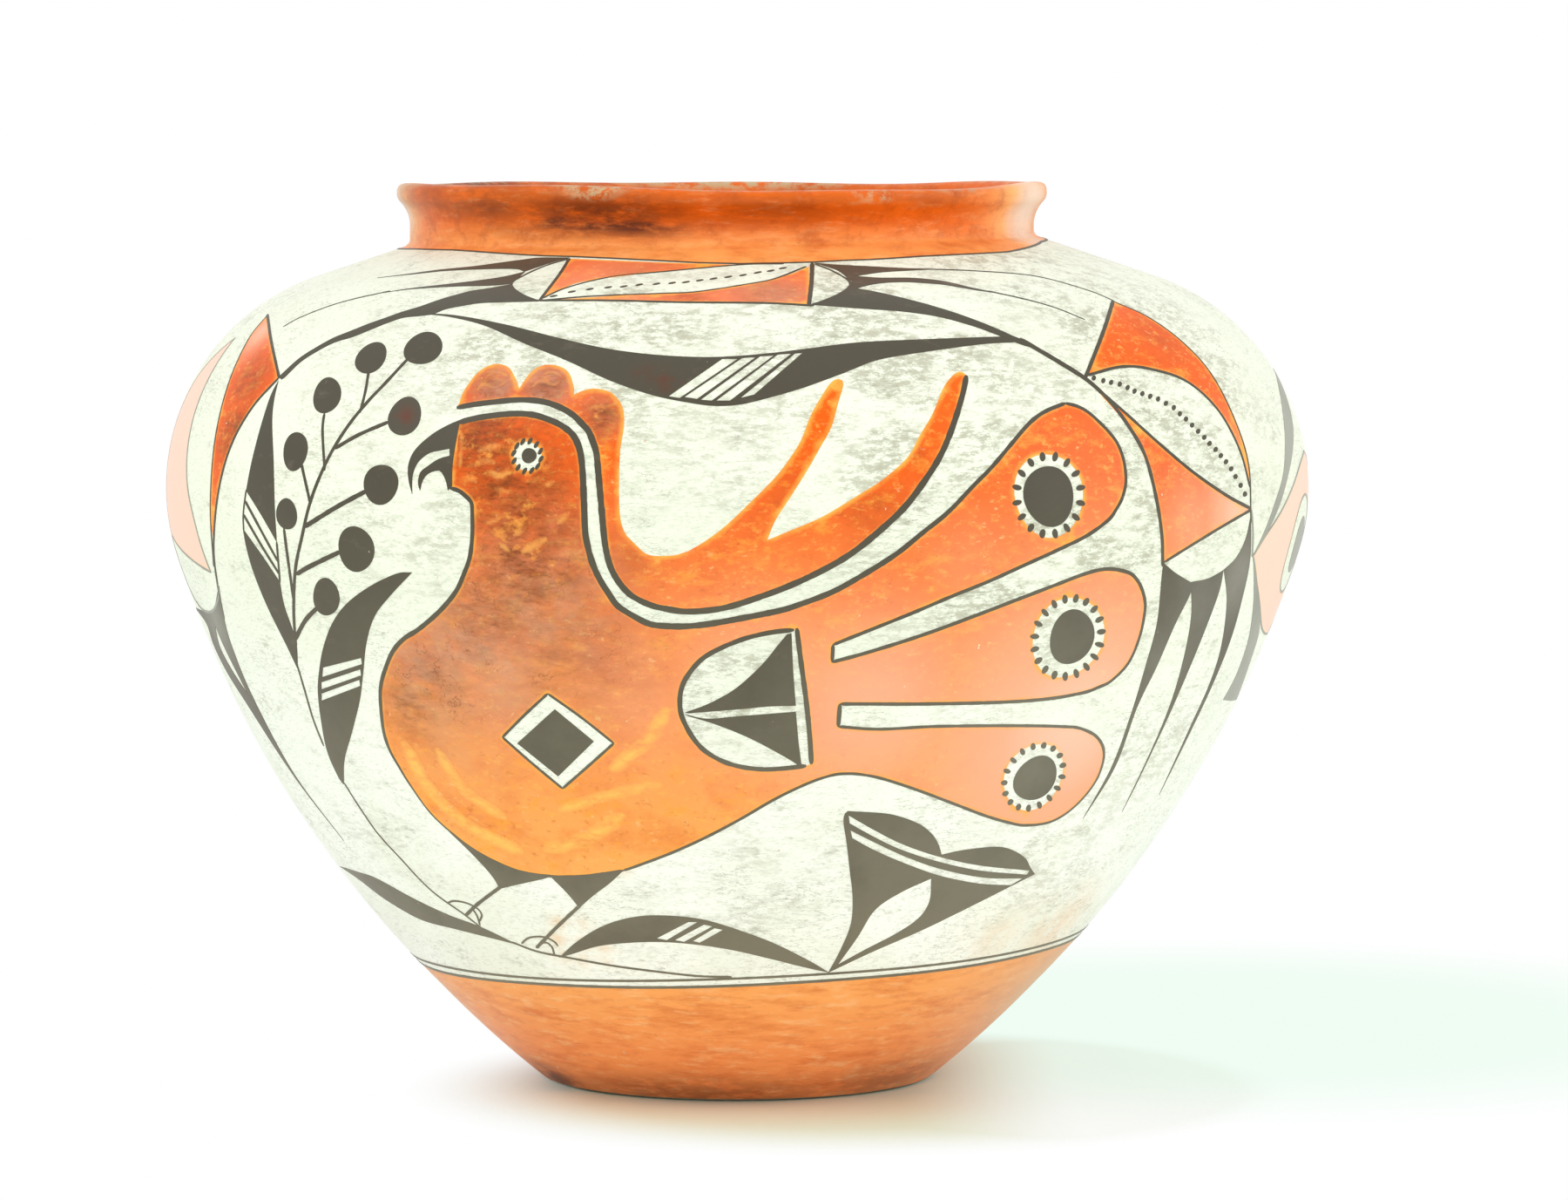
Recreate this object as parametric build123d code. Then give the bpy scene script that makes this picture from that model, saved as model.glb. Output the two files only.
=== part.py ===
from build123d import *
import os
from math import acos, asin, atan2, cos, hypot, pi, radians, sin, sqrt, tan

# A coil-built earthenware water jar: a pad pressed in a mould, rings of clay lapped one inside
# the other above it, a low flared neck, and thin coats of slip over the outside.
# Millimetres, +Z up, origin on the table under the middle of the belly, -Y is the front.

# Overall form, measured over the slip
belly_diameter = 306.5
belly_height = 159.0          # height of the widest ring
belly_curve = 59.5            # profile radius round the widest ring
underbody_curve = 288.0       # profile radius of the wall below it
shoulder_slope = 18.5         # degrees, from the belly arc up to the neck
foot_diameter = 104.0         # where the wall would meet the table
foot_round = 5.0              # worn edge of the foot

# Neck and lip, round an axis of their own because the neck was set off centre
neck_diameter = 168.0
neck_height = 16.0            # from the shoulder to the top of the lip
neck_shift = -4.0             # the neck's axis stands this far along X
straight_rise = 4.0           # height of the neck's upright part
lip_flare = 3.5               # the lip stands out this far past the neck

# Clay
wall = 5.5
floor_thickness = 5.0         # at the middle of the floor
floor_round = 26.0            # inside corner between floor and wall
foot_ring_width = 11.6        # flat ring that the jar stands on
hollow_depth = 4.0            # dished underside, as on jars carried on the head

# Coats of slip
slip = 0.4
slip_edge_height = 1.0        # the coat stops this far above the table
slip_line_height = 35.6       # where orange underbody gives way to white
slip_line_tilt = 2.3          # degrees, the line climbs towards +X

# Coils
coil_count = 10               # rings between the pad and the neck
pad_rise = 34.0               # wall length that the moulded pad takes up
lap = 6.0                     # each joint is this much lower on the inside
neck_coil_rise = 5.5          # the neck coil's outside above the shoulder
neck_lap = 3.0                # and how much lower its joint is on the inside

neck_radius = neck_diameter / 2
neck_place = Pos(neck_shift, 0, 0)
trim_reach = 2.5 * wall       # cutting shapes stand this far clear of the wall


def polar(centre, radius, angle):
    return (centre[0] + radius * cos(angle), centre[1] + radius * sin(angle))


def arc(centre, radius, start, end):
    """The arc about a centre from one direction to another, in radians."""
    through = polar(centre, radius, (start + end) / 2)
    return ThreePointArc(polar(centre, radius, start), through, polar(centre, radius, end))


def outline(*points):
    return make_face(Polyline(*points, close=True))


def turned(section):
    """A section drawn as (radius, height), turned round the vertical axis."""
    return revolve(Plane.XZ * section, axis=Axis.Z)


# The belly arc, and the directions from its centre where the wall below and the shoulder join it
belly_centre = (belly_diameter / 2 - belly_curve, belly_height)
foot_offset = (foot_diameter / 2 - belly_centre[0], -belly_centre[1])
foot_span = hypot(*foot_offset)
centre_gap = underbody_curve - belly_curve
foot_turn = acos((underbody_curve**2 - centre_gap**2 - foot_span**2) / (2 * centre_gap * foot_span))
underbody_end = atan2(foot_offset[1], foot_offset[0]) + foot_turn
underbody_centre = polar(belly_centre, -centre_gap, underbody_end)
shoulder_pitch = radians(shoulder_slope)
shoulder_start = pi / 2 - shoulder_pitch
shoulder_low = polar(belly_centre, belly_curve, shoulder_start)
neck_seat_height = shoulder_low[1] + (shoulder_low[0] - neck_radius) * tan(shoulder_pitch)
jar_height = neck_seat_height + neck_height
flare_height = neck_seat_height + straight_rise
throat = neck_radius - abs(neck_shift) - wall - trim_reach


def floor_corner(depth, floor, corner):
    """Centre of the arc that turns from a flat floor into the lower wall."""
    rise = floor + corner - underbody_centre[1]
    return (underbody_centre[0] + sqrt((underbody_curve - depth - corner) ** 2 - rise**2), floor + corner)


def body_face(depth, floor, corner):
    """The jar's half section inside a skin of the given depth, from a flat floor up to the throat."""
    lower = underbody_curve - depth
    corner_centre = floor_corner(depth, floor, corner)
    corner_end = asin((corner_centre[1] - underbody_centre[1]) / (lower - corner))
    belly_top = polar(belly_centre, belly_curve - depth, shoulder_start)
    throat_top = belly_top[1] + (belly_top[0] - throat) * tan(shoulder_pitch)
    return make_face(
        [
            Line((0, floor), (corner_centre[0], floor)),
            arc(corner_centre, corner, -pi / 2, corner_end),
            arc(underbody_centre, lower, corner_end, underbody_end),
            arc(belly_centre, belly_curve - depth, underbody_end, shoulder_start),
            Line(belly_top, (throat, throat_top)),
            Line((throat, throat_top), (0, throat_top)),
            Line((0, throat_top), (0, floor)),
        ]
    )


# Wall lengths along the slip's face: foot to belly arc, round that arc, and up the shoulder
foot_direction = atan2(-underbody_centre[1], foot_diameter / 2 - underbody_centre[0])
lower_length = underbody_curve * (underbody_end - foot_direction)
belly_length = belly_curve * (shoulder_start - underbody_end)
shoulder_length = (shoulder_low[0] - neck_radius) / cos(shoulder_pitch)


def wall_point(length, depth):
    """The point at a given wall length above the foot, at a depth below the slip's face."""
    if length < lower_length:
        direction = foot_direction + length / underbody_curve
        return polar(underbody_centre, underbody_curve - depth, direction)
    if length < lower_length + belly_length:
        direction = underbody_end + (length - lower_length) / belly_curve
        return polar(belly_centre, belly_curve - depth, direction)
    rest = length - lower_length - belly_length
    start = polar(belly_centre, belly_curve - depth, shoulder_start)
    return (start[0] - rest * cos(shoulder_pitch), start[1] + rest * sin(shoulder_pitch))


def lap_line(length):
    """A joint's two ends, carried past both faces of the wall: (outside, inside)."""
    out_point = wall_point(length, slip)
    in_point = wall_point(length - lap, slip + wall)
    run = (out_point[0] - in_point[0], out_point[1] - in_point[1])
    stretch = trim_reach / hypot(*run)
    outside = (out_point[0] + run[0] * stretch, out_point[1] + run[1] * stretch)
    inside = (in_point[0] - run[0] * stretch, in_point[1] - run[1] * stretch)
    return outside, inside


def neck_face(depth):
    """The neck's half section inside a skin of the given depth: a wall that bends out to a round lip."""
    lip_half = wall / 2 + slip
    lip_centre = (neck_radius + lip_flare - lip_half, jar_height - lip_half)
    back = lip_half - lip_flare
    rise = lip_centre[1] - flare_height
    flare = (back**2 + rise**2 - lip_half**2) / (2 * lip_flare)
    flare_centre = (neck_radius + flare, flare_height)
    lip_turn = atan2(rise, lip_centre[0] - flare_centre[0])
    inner = neck_radius - 2 * lip_half + depth
    outer = neck_radius - depth
    return make_face(
        [
            Line((inner, neck_bottom), (outer, neck_bottom)),
            Line((outer, neck_bottom), (outer, flare_height)),
            arc(flare_centre, flare + depth, pi, lip_turn),
            arc(lip_centre, lip_half - depth, lip_turn - pi, lip_turn),
            arc(flare_centre, flare + 2 * lip_half - depth, lip_turn, pi),
            Line((inner, flare_height), (inner, neck_bottom)),
        ]
    )


# The neck coil reaches down to the shoulder's inside face on its low side
low_side = neck_radius - slip + abs(neck_shift)
inside_drop = (slip + wall) / cos(shoulder_pitch)
neck_bottom = neck_seat_height - (low_side - neck_radius) * tan(shoulder_pitch) - inside_drop


def mouth_bore(radius):
    """The round opening that the neck is let into, from the belly up."""
    bore = Cylinder(radius, jar_height, align=(Align.CENTER, Align.CENTER, Align.MIN))
    return neck_place * Pos(0, 0, belly_height) * bore


def make_pad_and_coils():
    """The moulded pad and the rings above it, cut from one wall by lapped joints."""
    hollow_radius = floor_corner(slip, 0, foot_round)[0] - foot_ring_width
    hollow_curve = (hollow_radius**2 + hollow_depth**2) / (2 * hollow_depth)
    hollow = Pos(0, hollow_depth - hollow_curve) * Circle(hollow_curve)
    inside = body_face(slip + wall, hollow_depth + floor_thickness, floor_round)
    section = body_face(slip, 0, foot_round) - inside - hollow
    coil_rise = (lower_length + belly_length + shoulder_length - pad_rise) / coil_count
    joints = [lap_line(pad_rise + coil_rise * n) for n in range(coil_count)]
    first_out, first_in = joints[0]
    low = -trim_reach
    below = outline((0, low), (first_out[0], low), first_out, first_in, (0, first_in[1]))
    pieces = {"base_pad": turned(section & below)}
    for n in range(coil_count):
        low_out, low_in = joints[n]
        if n + 1 < coil_count:
            high_out, high_in = joints[n + 1]
            strip = outline(low_out, high_out, high_in, low_in)
            ring = turned(section & strip)
        else:
            top = jar_height + trim_reach
            strip = outline(low_out, (low_out[0], top), (0, top), (0, low_in[1]), low_in)
            ring = turned(section & strip) - mouth_bore(neck_radius - slip)
        pieces[f"body_coil_{n + 1:02d}"] = ring
    return pieces


def make_neck_and_rim():
    """The neck coil, let into the shoulder, and the rim coil lapped inside its top."""
    section = neck_face(slip)
    inner = neck_radius - wall - slip
    joint_height = neck_seat_height + neck_coil_rise
    out_end = (neck_radius + trim_reach, joint_height + neck_lap * trim_reach / wall)
    in_end = (inner - trim_reach, joint_height - neck_lap * (1 + trim_reach / wall))
    top = jar_height + trim_reach
    above = outline(in_end, out_end, (out_end[0], top), (in_end[0], top))
    return {
        "neck_coil": neck_place * turned(section - above),
        "rim_coil": neck_place * turned(section & above),
    }


def make_slip_coats():
    """Orange and white coats on the body, parted by a tilted line, and the coat over the neck."""
    bare = body_face(slip, 0, foot_round)
    skin = body_face(0, -slip, foot_round + slip) - bare
    clear = belly_diameter
    foot_band = outline((0, slip_edge_height), (clear, slip_edge_height), (clear, -slip), (0, -slip))
    coat = turned(skin - foot_band) - mouth_bore(neck_radius)
    line = Plane(origin=(0, 0, slip_line_height), z_dir=(0, 0, 1)).rotated((0, -slip_line_tilt, 0))
    neck_coat = neck_place * turned(neck_face(0) - neck_face(slip))
    return {
        "underbody_orange_slip": split(coat, bisect_by=line, keep=Keep.BOTTOM),
        "body_white_slip": split(coat, bisect_by=line, keep=Keep.TOP),
        "neck_orange_slip": neck_coat - (turned(bare) - mouth_bore(neck_radius - slip)),
    }


pieces = make_pad_and_coils()
pieces.update(make_neck_and_rim())
pieces.update(make_slip_coats())

os.makedirs("parts", exist_ok=True)
for name, piece in pieces.items():
    export_step(piece, f"parts/{name}.step")
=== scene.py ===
import bpy
import numpy as np
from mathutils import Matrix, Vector
from mathutils.geometry import delaunay_2d_cdt


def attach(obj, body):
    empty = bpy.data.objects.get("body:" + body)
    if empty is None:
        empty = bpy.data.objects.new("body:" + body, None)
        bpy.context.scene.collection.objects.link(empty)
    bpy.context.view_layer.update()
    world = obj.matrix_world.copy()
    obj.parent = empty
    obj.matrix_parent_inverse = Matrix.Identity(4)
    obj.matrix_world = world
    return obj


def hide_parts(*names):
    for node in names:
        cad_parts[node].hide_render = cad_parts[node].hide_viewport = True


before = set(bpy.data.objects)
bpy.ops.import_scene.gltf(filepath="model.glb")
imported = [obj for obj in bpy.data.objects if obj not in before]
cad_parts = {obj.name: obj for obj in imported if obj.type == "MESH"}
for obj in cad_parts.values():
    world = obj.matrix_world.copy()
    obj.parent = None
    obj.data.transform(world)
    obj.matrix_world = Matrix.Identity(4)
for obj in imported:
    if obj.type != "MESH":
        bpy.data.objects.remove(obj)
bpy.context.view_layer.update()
mm = 0.001
rng = np.random.default_rng(7)

# The jar's outline as the CAD has it, in mm and radians. A wall length runs from the foot, up round the
# belly, to the neck. A turn of nothing faces the camera, and turns go to the right.
jar = {"bellyRadius": 153.25, "bellyHeight": 159.0, "bellyCurve": 59.5, "lowerCurve": 288.0,
       "slope": np.radians(18.5), "footRadius": 52.0, "footRound": 5.0, "footFlat": 11.6, "hollow": 4.0,
       "floor": 9.0, "floorRound": 26.0, "wall": 5.5, "slip": 0.4, "slipEdge": 1.0, "lineHeight": 35.6,
       "lineTilt": np.tan(np.radians(2.3)), "padRise": 34.0, "lap": 6.0, "coils": 10, "neckRadius": 84.0,
       "neckShift": -4.0, "neckHeight": 16.0, "neckJoint": 5.5, "neckLap": 3.0, "straight": 4.0, "flare": 3.5}


def direction(turn):
    # a step of one, as (across, up): the turn's cosine and sine
    return np.stack([np.cos(turn), np.sin(turn)], -1)


def ramp(value, low, high):
    # nothing at the first limit, one at the second, straight between them
    return np.clip((value - low) / (high - low), 0, 1)


bellyCentre = np.array([jar["bellyRadius"] - jar["bellyCurve"], jar["bellyHeight"]])
footOffset = np.array([jar["footRadius"], 0.0]) - bellyCentre
footSpan = np.hypot(*footOffset)
centreGap = jar["lowerCurve"] - jar["bellyCurve"]
lowerEnd = np.arctan2(footOffset[1], footOffset[0]) + np.arccos(
    (jar["lowerCurve"] ** 2 - centreGap ** 2 - footSpan ** 2) / (2 * centreGap * footSpan))
lowerCentre = bellyCentre - centreGap * direction(lowerEnd)
lowerStart = np.arctan2(-lowerCentre[1], jar["footRadius"] - lowerCentre[0])
shoulderStart = np.pi / 2 - jar["slope"]
shoulderLow = bellyCentre + jar["bellyCurve"] * direction(shoulderStart)
lowerLength = jar["lowerCurve"] * (lowerEnd - lowerStart)
bellyLength = jar["bellyCurve"] * (shoulderStart - lowerEnd)
seatHeight = shoulderLow[1] + (shoulderLow[0] - jar["neckRadius"]) * np.tan(jar["slope"])
jarHeight = seatHeight + jar["neckHeight"]


def shoulderLength(radius):
    # the wall length at which the straight shoulder has that radius
    return lowerLength + bellyLength + (shoulderLow[0] - radius) / np.cos(jar["slope"])


def boreRadius(angle, reach):
    # a round about the neck's own axis, as its distance from the jar's axis at each turn
    shift = jar["neckShift"]
    return shift * np.sin(angle) + np.sqrt(reach ** 2 - (shift * np.cos(angle)) ** 2)


def wallPoint(length, depth):
    # (radius, height): lower arc, belly arc, straight shoulder, all moved in by the depth
    length, depth = np.broadcast_arrays(np.asarray(length, float), np.asarray(depth, float))
    lowReach = (jar["lowerCurve"] - depth)[..., None]
    bellyReach = (jar["bellyCurve"] - depth)[..., None]
    rest = (length - lowerLength - bellyLength)[..., None]
    low = lowerCentre + lowReach * direction(lowerStart + length / jar["lowerCurve"])
    belly = bellyCentre + bellyReach * direction(lowerEnd + (length - lowerLength) / jar["bellyCurve"])
    shoulder = bellyCentre + bellyReach * direction(shoulderStart) + rest * direction(jar["slope"]) * [-1, 1]
    onLow = (length < lowerLength)[..., None]
    onBelly = (length < lowerLength + bellyLength)[..., None]
    return np.where(onLow, low, np.where(onBelly, belly, shoulder))


def carried(angle, radius, height, axis=0.0):
    # (radius, height) taken round an upright axis that stands that far along x
    places = np.broadcast_arrays(axis + radius * np.sin(angle), -radius * np.cos(angle), height)
    return np.stack(places, -1).reshape(-1, 3)


# The outline as a table, from the foot to a little past the neck
table = {"past": 6.0, "count": 6000}
wallLength = shoulderLength(jar["neckRadius"])
tableLength = np.linspace(0, wallLength + table["past"], table["count"])
tableRadius, tableHeight = wallPoint(tableLength, 0).T

# The potter's hand. A wave is (mm, waves round the jar, lean for each mm of height, start), in radians.
hand = {"inset": -0.62, "footFade": (1.5, 26.5), "leastRadius": 40.0,
        "dip": 1.15, "rimFrom": 2.0, "rimPower": 1.5,
        "wall": [(0.2, 2, 0.021, 0.6), (0.16, 3, -0.034, 2.1), (0.1, 5, 0.06, 4.0), (0.05, 9, -0.11, 0.0)],
        "rim": [(0.5, 2, 0.0, 1.1), (0.36, 3, 0.0, 0.3), (0.24, 7, 0.0, 2.0)]}


def waves(start, kind, angle, height):
    # a start value and the sum of one kind of the hand's sine waves
    parts = (size * np.sin(count * angle + lean * height + phase) for size, count, lean, phase in hand[kind])
    return sum(parts, start)


def handShape(points):
    # the wall leaves the true round by a few tenths of a mm, always inwards and fading at the foot, and the
    # rim, trimmed by eye, dips and climbs as it goes round
    angle = np.arctan2(points[:, 0], -points[:, 1])
    height = points[:, 2]
    radius = np.hypot(points[:, 0], points[:, 1])
    off = waves(hand["inset"], "wall", angle, height) * ramp(height, *hand["footFade"])
    share = 1 + off / np.maximum(radius, hand["leastRadius"])
    rise = ramp(height - seatHeight, hand["rimFrom"], jar["neckHeight"])
    drop = waves(hand["dip"], "rim", angle, height) * rise ** hand["rimPower"]
    return np.stack([points[:, 0] * share, points[:, 1] * share, height - drop], -1)


def toSurface(angle, length, lift):
    # points at a turn and a wall length, lifted off the slip's face, as the hand left them
    place = wallPoint(length, -np.asarray(lift, float))
    return handShape(carried(angle, place[..., 0], place[..., 1]))


# The camera stands where the photograph was taken from, in mm, and sees 1800 x 1377 pixels. The painting
# was laid out through it.
camera = {"place": np.array([12.6, -1770.0, 258.2]), "pitch": np.radians(4.2), "focal": 7570.0,
          "middle": np.array([900.0, 688.5]), "width": 1800.0, "sensor": 36.0, "clip": (0.05, 200.0),
          "search": 260.0, "halvings": 48}


def onJar(pixels):
    # a ray from the camera through each pixel, halved again and again until it meets the jar's outline;
    # gives the turn and the wall length there
    across, up = ((np.asarray(pixels, float) - camera["middle"]) / camera["focal"] * [1, -1]).T
    tilt, lean = np.cos(camera["pitch"]), np.sin(camera["pitch"])
    ray = np.stack([across, tilt + up * lean, up * tilt - lean], -1)
    far = -(ray[:, 0] * camera["place"][0] + ray[:, 1] * camera["place"][1]) / (ray[:, :2] ** 2).sum(1)
    near = far - camera["search"]
    for step in range(camera["halvings"]):
        half = (near + far) / 2
        points = camera["place"] + half[:, None] * ray
        outside = np.hypot(points[:, 0], points[:, 1]) > np.interp(points[:, 2], tableHeight, tableRadius)
        near, far = np.where(outside, half, near), np.where(outside, far, half)
    points = camera["place"] + far[:, None] * ray
    length = np.interp(points[:, 2], tableHeight, tableLength)
    return np.stack([np.arctan2(points[:, 0], -points[:, 1]), length], -1)


def run(*numbers):
    # x,y pairs of the photograph's pixels, x to the right and y down: one smooth curve or a row of dots
    return np.reshape(numbers, (-1, 2)).astype(float)


def loop(*parts):
    # curves that meet in corners: each runs on to the first point of the next, and the last part is the end
    runs = [run(*part) for part in parts]
    return [np.vstack([here, following[:1]]) for here, following in zip(runs, runs[1:])]


def straight(*numbers):
    # a closed outline of straight sides, given by its corners
    corners = run(*numbers)
    return [np.stack(side) for side in zip(corners, np.roll(corners, -1, 0))]


def linear(code):
    # an sRGB hex colour as linear light
    parts = np.array([int(code[k:k + 2], 16) for k in (1, 3, 5)]) / 255
    parts = np.where(parts <= 0.04045, parts / 12.92, ((parts + 0.055) / 1.055) ** 2.4)
    return (*parts.tolist(), 1.0)


def addNode(tree, kind, links, **settings):
    # a node with its settings; each input takes a link from another node or a constant
    made = tree.nodes.new(kind)
    for name, value in settings.items():
        setattr(made, name, value)
    for socket, value in links.items():
        if isinstance(value, bpy.types.NodeSocket):
            tree.links.new(value, made.inputs[socket])
        else:
            made.inputs[socket].default_value = value
    return made.outputs


def newMaterial(name):
    # a material with an empty node tree
    material = bpy.data.materials.new(name)
    material.use_nodes = True
    material.node_tree.nodes.clear()
    return material, material.node_tree


cloudy = {"flat": 1.0, "seed": (0, 0, 0), "detail": 5.0, "grain": 0.62}


def patternValue(tree, place, mask):
    # an attribute of the piece, its height in mm, a cloudy pattern of a size in mm, or the thin lines where
    # that pattern crosses its middle
    if "attribute" in mask:
        return addNode(tree, "ShaderNodeAttribute", {}, attribute_name=mask["attribute"])["Fac"]
    if "height" in mask:
        upright = addNode(tree, "ShaderNodeSeparateXYZ", {0: place})["Z"]
        return addNode(tree, "ShaderNodeMath", {0: upright, 1: mm}, operation="DIVIDE")[0]
    mask = {**cloudy, **mask}
    links = {"Vector": place, "Scale": (1, 1, mask["flat"]), "Location": mask["seed"]}
    moved = addNode(tree, "ShaderNodeMapping", links)[0]
    scale = 1 / (mask["size"] * mm)
    links = {"Vector": moved, "Scale": scale, "Detail": mask["detail"], "Roughness": mask["grain"]}
    cloud = addNode(tree, "ShaderNodeTexNoise", links)[0]
    if "line" not in mask:
        return cloud
    middle = addNode(tree, "ShaderNodeMath", {0: cloud, 1: 0.5}, operation="SUBTRACT")[0]
    return addNode(tree, "ShaderNodeMath", {0: middle}, operation="ABSOLUTE")[0]


def makeSurface(name, finish):
    # a ground colour with layers over it; each layer is a colour, its share, and masks that say where it
    # lies, from nothing at the first value of a mask's cut to all at the second; a mix takes its two colours
    # at inputs 6 and 7
    material, tree = newMaterial(name)
    place = addNode(tree, "ShaderNodeTexCoord", {})["Object"]
    colour = linear(finish["ground"])
    for tint, share, masks in finish["layers"]:
        for mask in masks:
            value = patternValue(tree, place, mask)
            low, high = mask["cut"]
            there = addNode(tree, "ShaderNodeMapRange", {0: value, 1: low, 2: high})[0]
            share = addNode(tree, "ShaderNodeMath", {0: there, 1: share}, operation="MULTIPLY")[0]
        colour = addNode(tree, "ShaderNodeMix", {0: share, 6: colour, 7: linear(tint)}, data_type="RGBA")[2]
    grain = patternValue(tree, place, finish["bump"])
    depth = finish["bump"]["depth"] * mm
    normal = addNode(tree, "ShaderNodeBump", {"Height": grain, "Strength": 1.0, "Distance": depth})[0]
    shader = addNode(tree, "ShaderNodeBsdfPrincipled", {
        "Base Color": colour, "Normal": normal, "Roughness": finish["rough"],
        "Specular IOR Level": finish["specular"]})[0]
    addNode(tree, "ShaderNodeOutputMaterial", {0: shader})
    return material


dash = dict(size=3.2, flat=2.6, detail=7.0, grain=0.72)
flake = dict(size=4.6, flat=2.8, detail=9.0, grain=0.8, seed=(2.6, 0.7, 1.9))
patch = dict(size=19, flat=2.2, seed=(1.7, 0.4, 0.2))
polished = dict(rough=0.4, specular=0.16)
# Masks by a piece's own attributes: brown, which is smoke, stains and browned paint, and painted shade low on
# the foot and inside the far rim; worn, which on the foot's sides is painted shade and highlight; painted
# highlight and glare and, past that, painted glare that washes the colour out
browned, wornAndSideShadeMask, paintedHighlightMask = (dict(attribute=name, cut=(0.0, 1.0)) for name in ("brown", "wornAndSideShade", "paintedHighlight"))
paintedGlareWashout = dict(paintedHighlightMask, cut=(1.0, 1.9))

# White slip rubbed with a stone: creamy, whiter low down as a painted reflection of the white floor, with
# fine level grey scuffs where it has worn
whiteFinish = dict(polished, ground="#eff3e0", bump=dict(dash, depth=0.1), layers=[
    ("#fdfff6", 1.0, [dict(height=True, cut=(150, 60))]),
    ("#e8ecd6", 0.45, [dict(size=42, detail=3.0, cut=(0.42, 0.66))]),
    ("#b4b29b", 0.85, [dict(flake, cut=(0.5, 0.545)), dict(patch, cut=(0.4, 0.54)),
        dict(wornAndSideShadeMask, cut=(0.0, 0.8))]),
    ("#7f7d68", 0.6, [dict(flake, line=True, cut=(0.02, 0.0)), dict(patch, cut=(0.44, 0.58)),
        dict(wornAndSideShadeMask, cut=(0.0, 0.9))]),
    ("#a9a996", 0.6, [dict(dash, seed=(0.3, 0.8, 0.1), cut=(0.48, 0.62)),
        dict(size=17, flat=2.6, seed=(4.7, 3.4, 1.2), cut=(0.52, 0.66))]),
    ("#7d7b66", 0.5, [dict(size=9, flat=4.5, detail=4.0, seed=(9, 3, 4), line=True, cut=(0.016, 0.0)),
        dict(size=24, seed=(2.2, 0.1, 0.9), cut=(0.44, 0.58))]),
    ("#98977f", 0.38, [dict(size=1.5, flat=3.2, seed=(3, 1, 2), cut=(0.52, 0.74))]),
    ("#c9a37a", 0.6, [dict(size=2.6, detail=2.0, seed=(5, 2, 8), cut=(0.75, 0.79))]),
    ("#f0bf84", 0.7, [browned, dict(size=7, flat=0.4, seed=(6, 1, 4), cut=(0.3, 0.55))])])

# Orange mineral paint brushed on the polished slip: mottled, yellow where it is thin at its edges, browned
# where it was rubbed and smoked, lighter low down as a painted reflection of the floor, and paled by painted
# glare and sheen
brush = dict(size=8.0, flat=2.2, detail=6.0, grain=0.7, seed=(1.1, 0.3, 0.5))
thinEdge = ("#ffb04a", 0.95, [dict(attribute="edge", cut=(1.3, 0.2)),
    dict(size=6.0, seed=(2, 2, 9), cut=(0.3, 0.58))])
orangePaintFinish = dict(polished, ground="#ef5f02", bump=dict(brush, depth=0.1), layers=[
    # lighter low down: a painted reflection of the white floor
    ("#fdb05e", 1.0, [dict(height=True, cut=(170, 64))]),
    ("#d9560e", 0.45, [dict(size=20, flat=1.4, seed=(0.2, 0.9, 0.4), cut=(0.46, 0.68))]),
    ("#ffa236", 0.75, [dict(brush, cut=(0.52, 0.68))]),
    ("#c4500f", 0.5, [dict(size=2.8, flat=1.4, detail=7.0, grain=0.72, seed=(5, 7, 3), cut=(0.57, 0.69))]),
    ("#ffb350", 0.75, [dict(size=3.2, flat=1.8, detail=7.0, grain=0.74, seed=(2, 7, 1), cut=(0.55, 0.68))]),
    # painted glare and sheen
    ("#fbb08c", 0.95, [paintedHighlightMask]),
    ("#c3a58a", 0.62, [wornAndSideShadeMask,
        dict(size=9.0, flat=1.6, detail=7.0, grain=0.68, seed=(3.3, 0.6, 5.2), cut=(0.2, 0.62))]),
    ("#ffc98a", 0.55, [dict(size=2.4, flat=1.8, detail=6.0, seed=(4, 4, 7), cut=(0.62, 0.67)),
        dict(size=16, seed=(1, 6, 3), cut=(0.42, 0.58))]),
    ("#7c3a10", 1.0, [browned,
        dict(size=7.0, flat=2.2, detail=8.0, grain=0.66, seed=(4.1, 2.3, 1.5), cut=(0.22, 0.66))]),
    ("#552409", 0.55, [dict(browned, cut=(0.3, 0.9)),
        dict(size=2.6, flat=2.6, seed=(3, 9, 1), cut=(0.5, 0.68))]),
    ("#f9a647", 0.9, [dict(browned, cut=(0.45, 0.85)),
        dict(size=5.0, flat=1.4, detail=6.0, seed=(8.3, 1.2, 0.4), cut=(0.56, 0.7))]),
    ("#70401f", 0.6, [dict(browned, cut=(0.15, 0.4)),
        dict(size=9.0, detail=4.0, seed=(6, 6, 2), line=True, cut=(0.012, 0.0)),
        dict(size=18, seed=(0.5, 3.3, 2.1), cut=(0.48, 0.6))]),
    thinEdge,
    # painted glare, washing the paint out
    ("#fdeadb", 1.0, [paintedGlareWashout]),
    ("#f3e3c6", 0.9, [dict(size=3.3, detail=2.0, seed=(7, 5, 3), cut=(0.76, 0.79))])])

# The same paint wiped thin with a finger: tan in the middle of the wipe, running out to the paint around it
wipedFinish = dict(orangePaintFinish, layers=[
    *[layer for layer in orangePaintFinish["layers"] if layer is not thinEdge],
    ("#f4a856", 0.55, [dict(attribute="edge", cut=(0.0, 0.9)),
        dict(size=3.4, detail=6.0, grain=0.68, seed=(2, 6, 5), cut=(0.34, 0.56))]),
    ("#ffc763", 0.75, [dict(attribute="edge", cut=(0.0, 2.0)), dict(height=True, cut=(160, 140)),
        dict(brush, size=5.0, cut=(0.36, 0.58))])])

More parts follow.
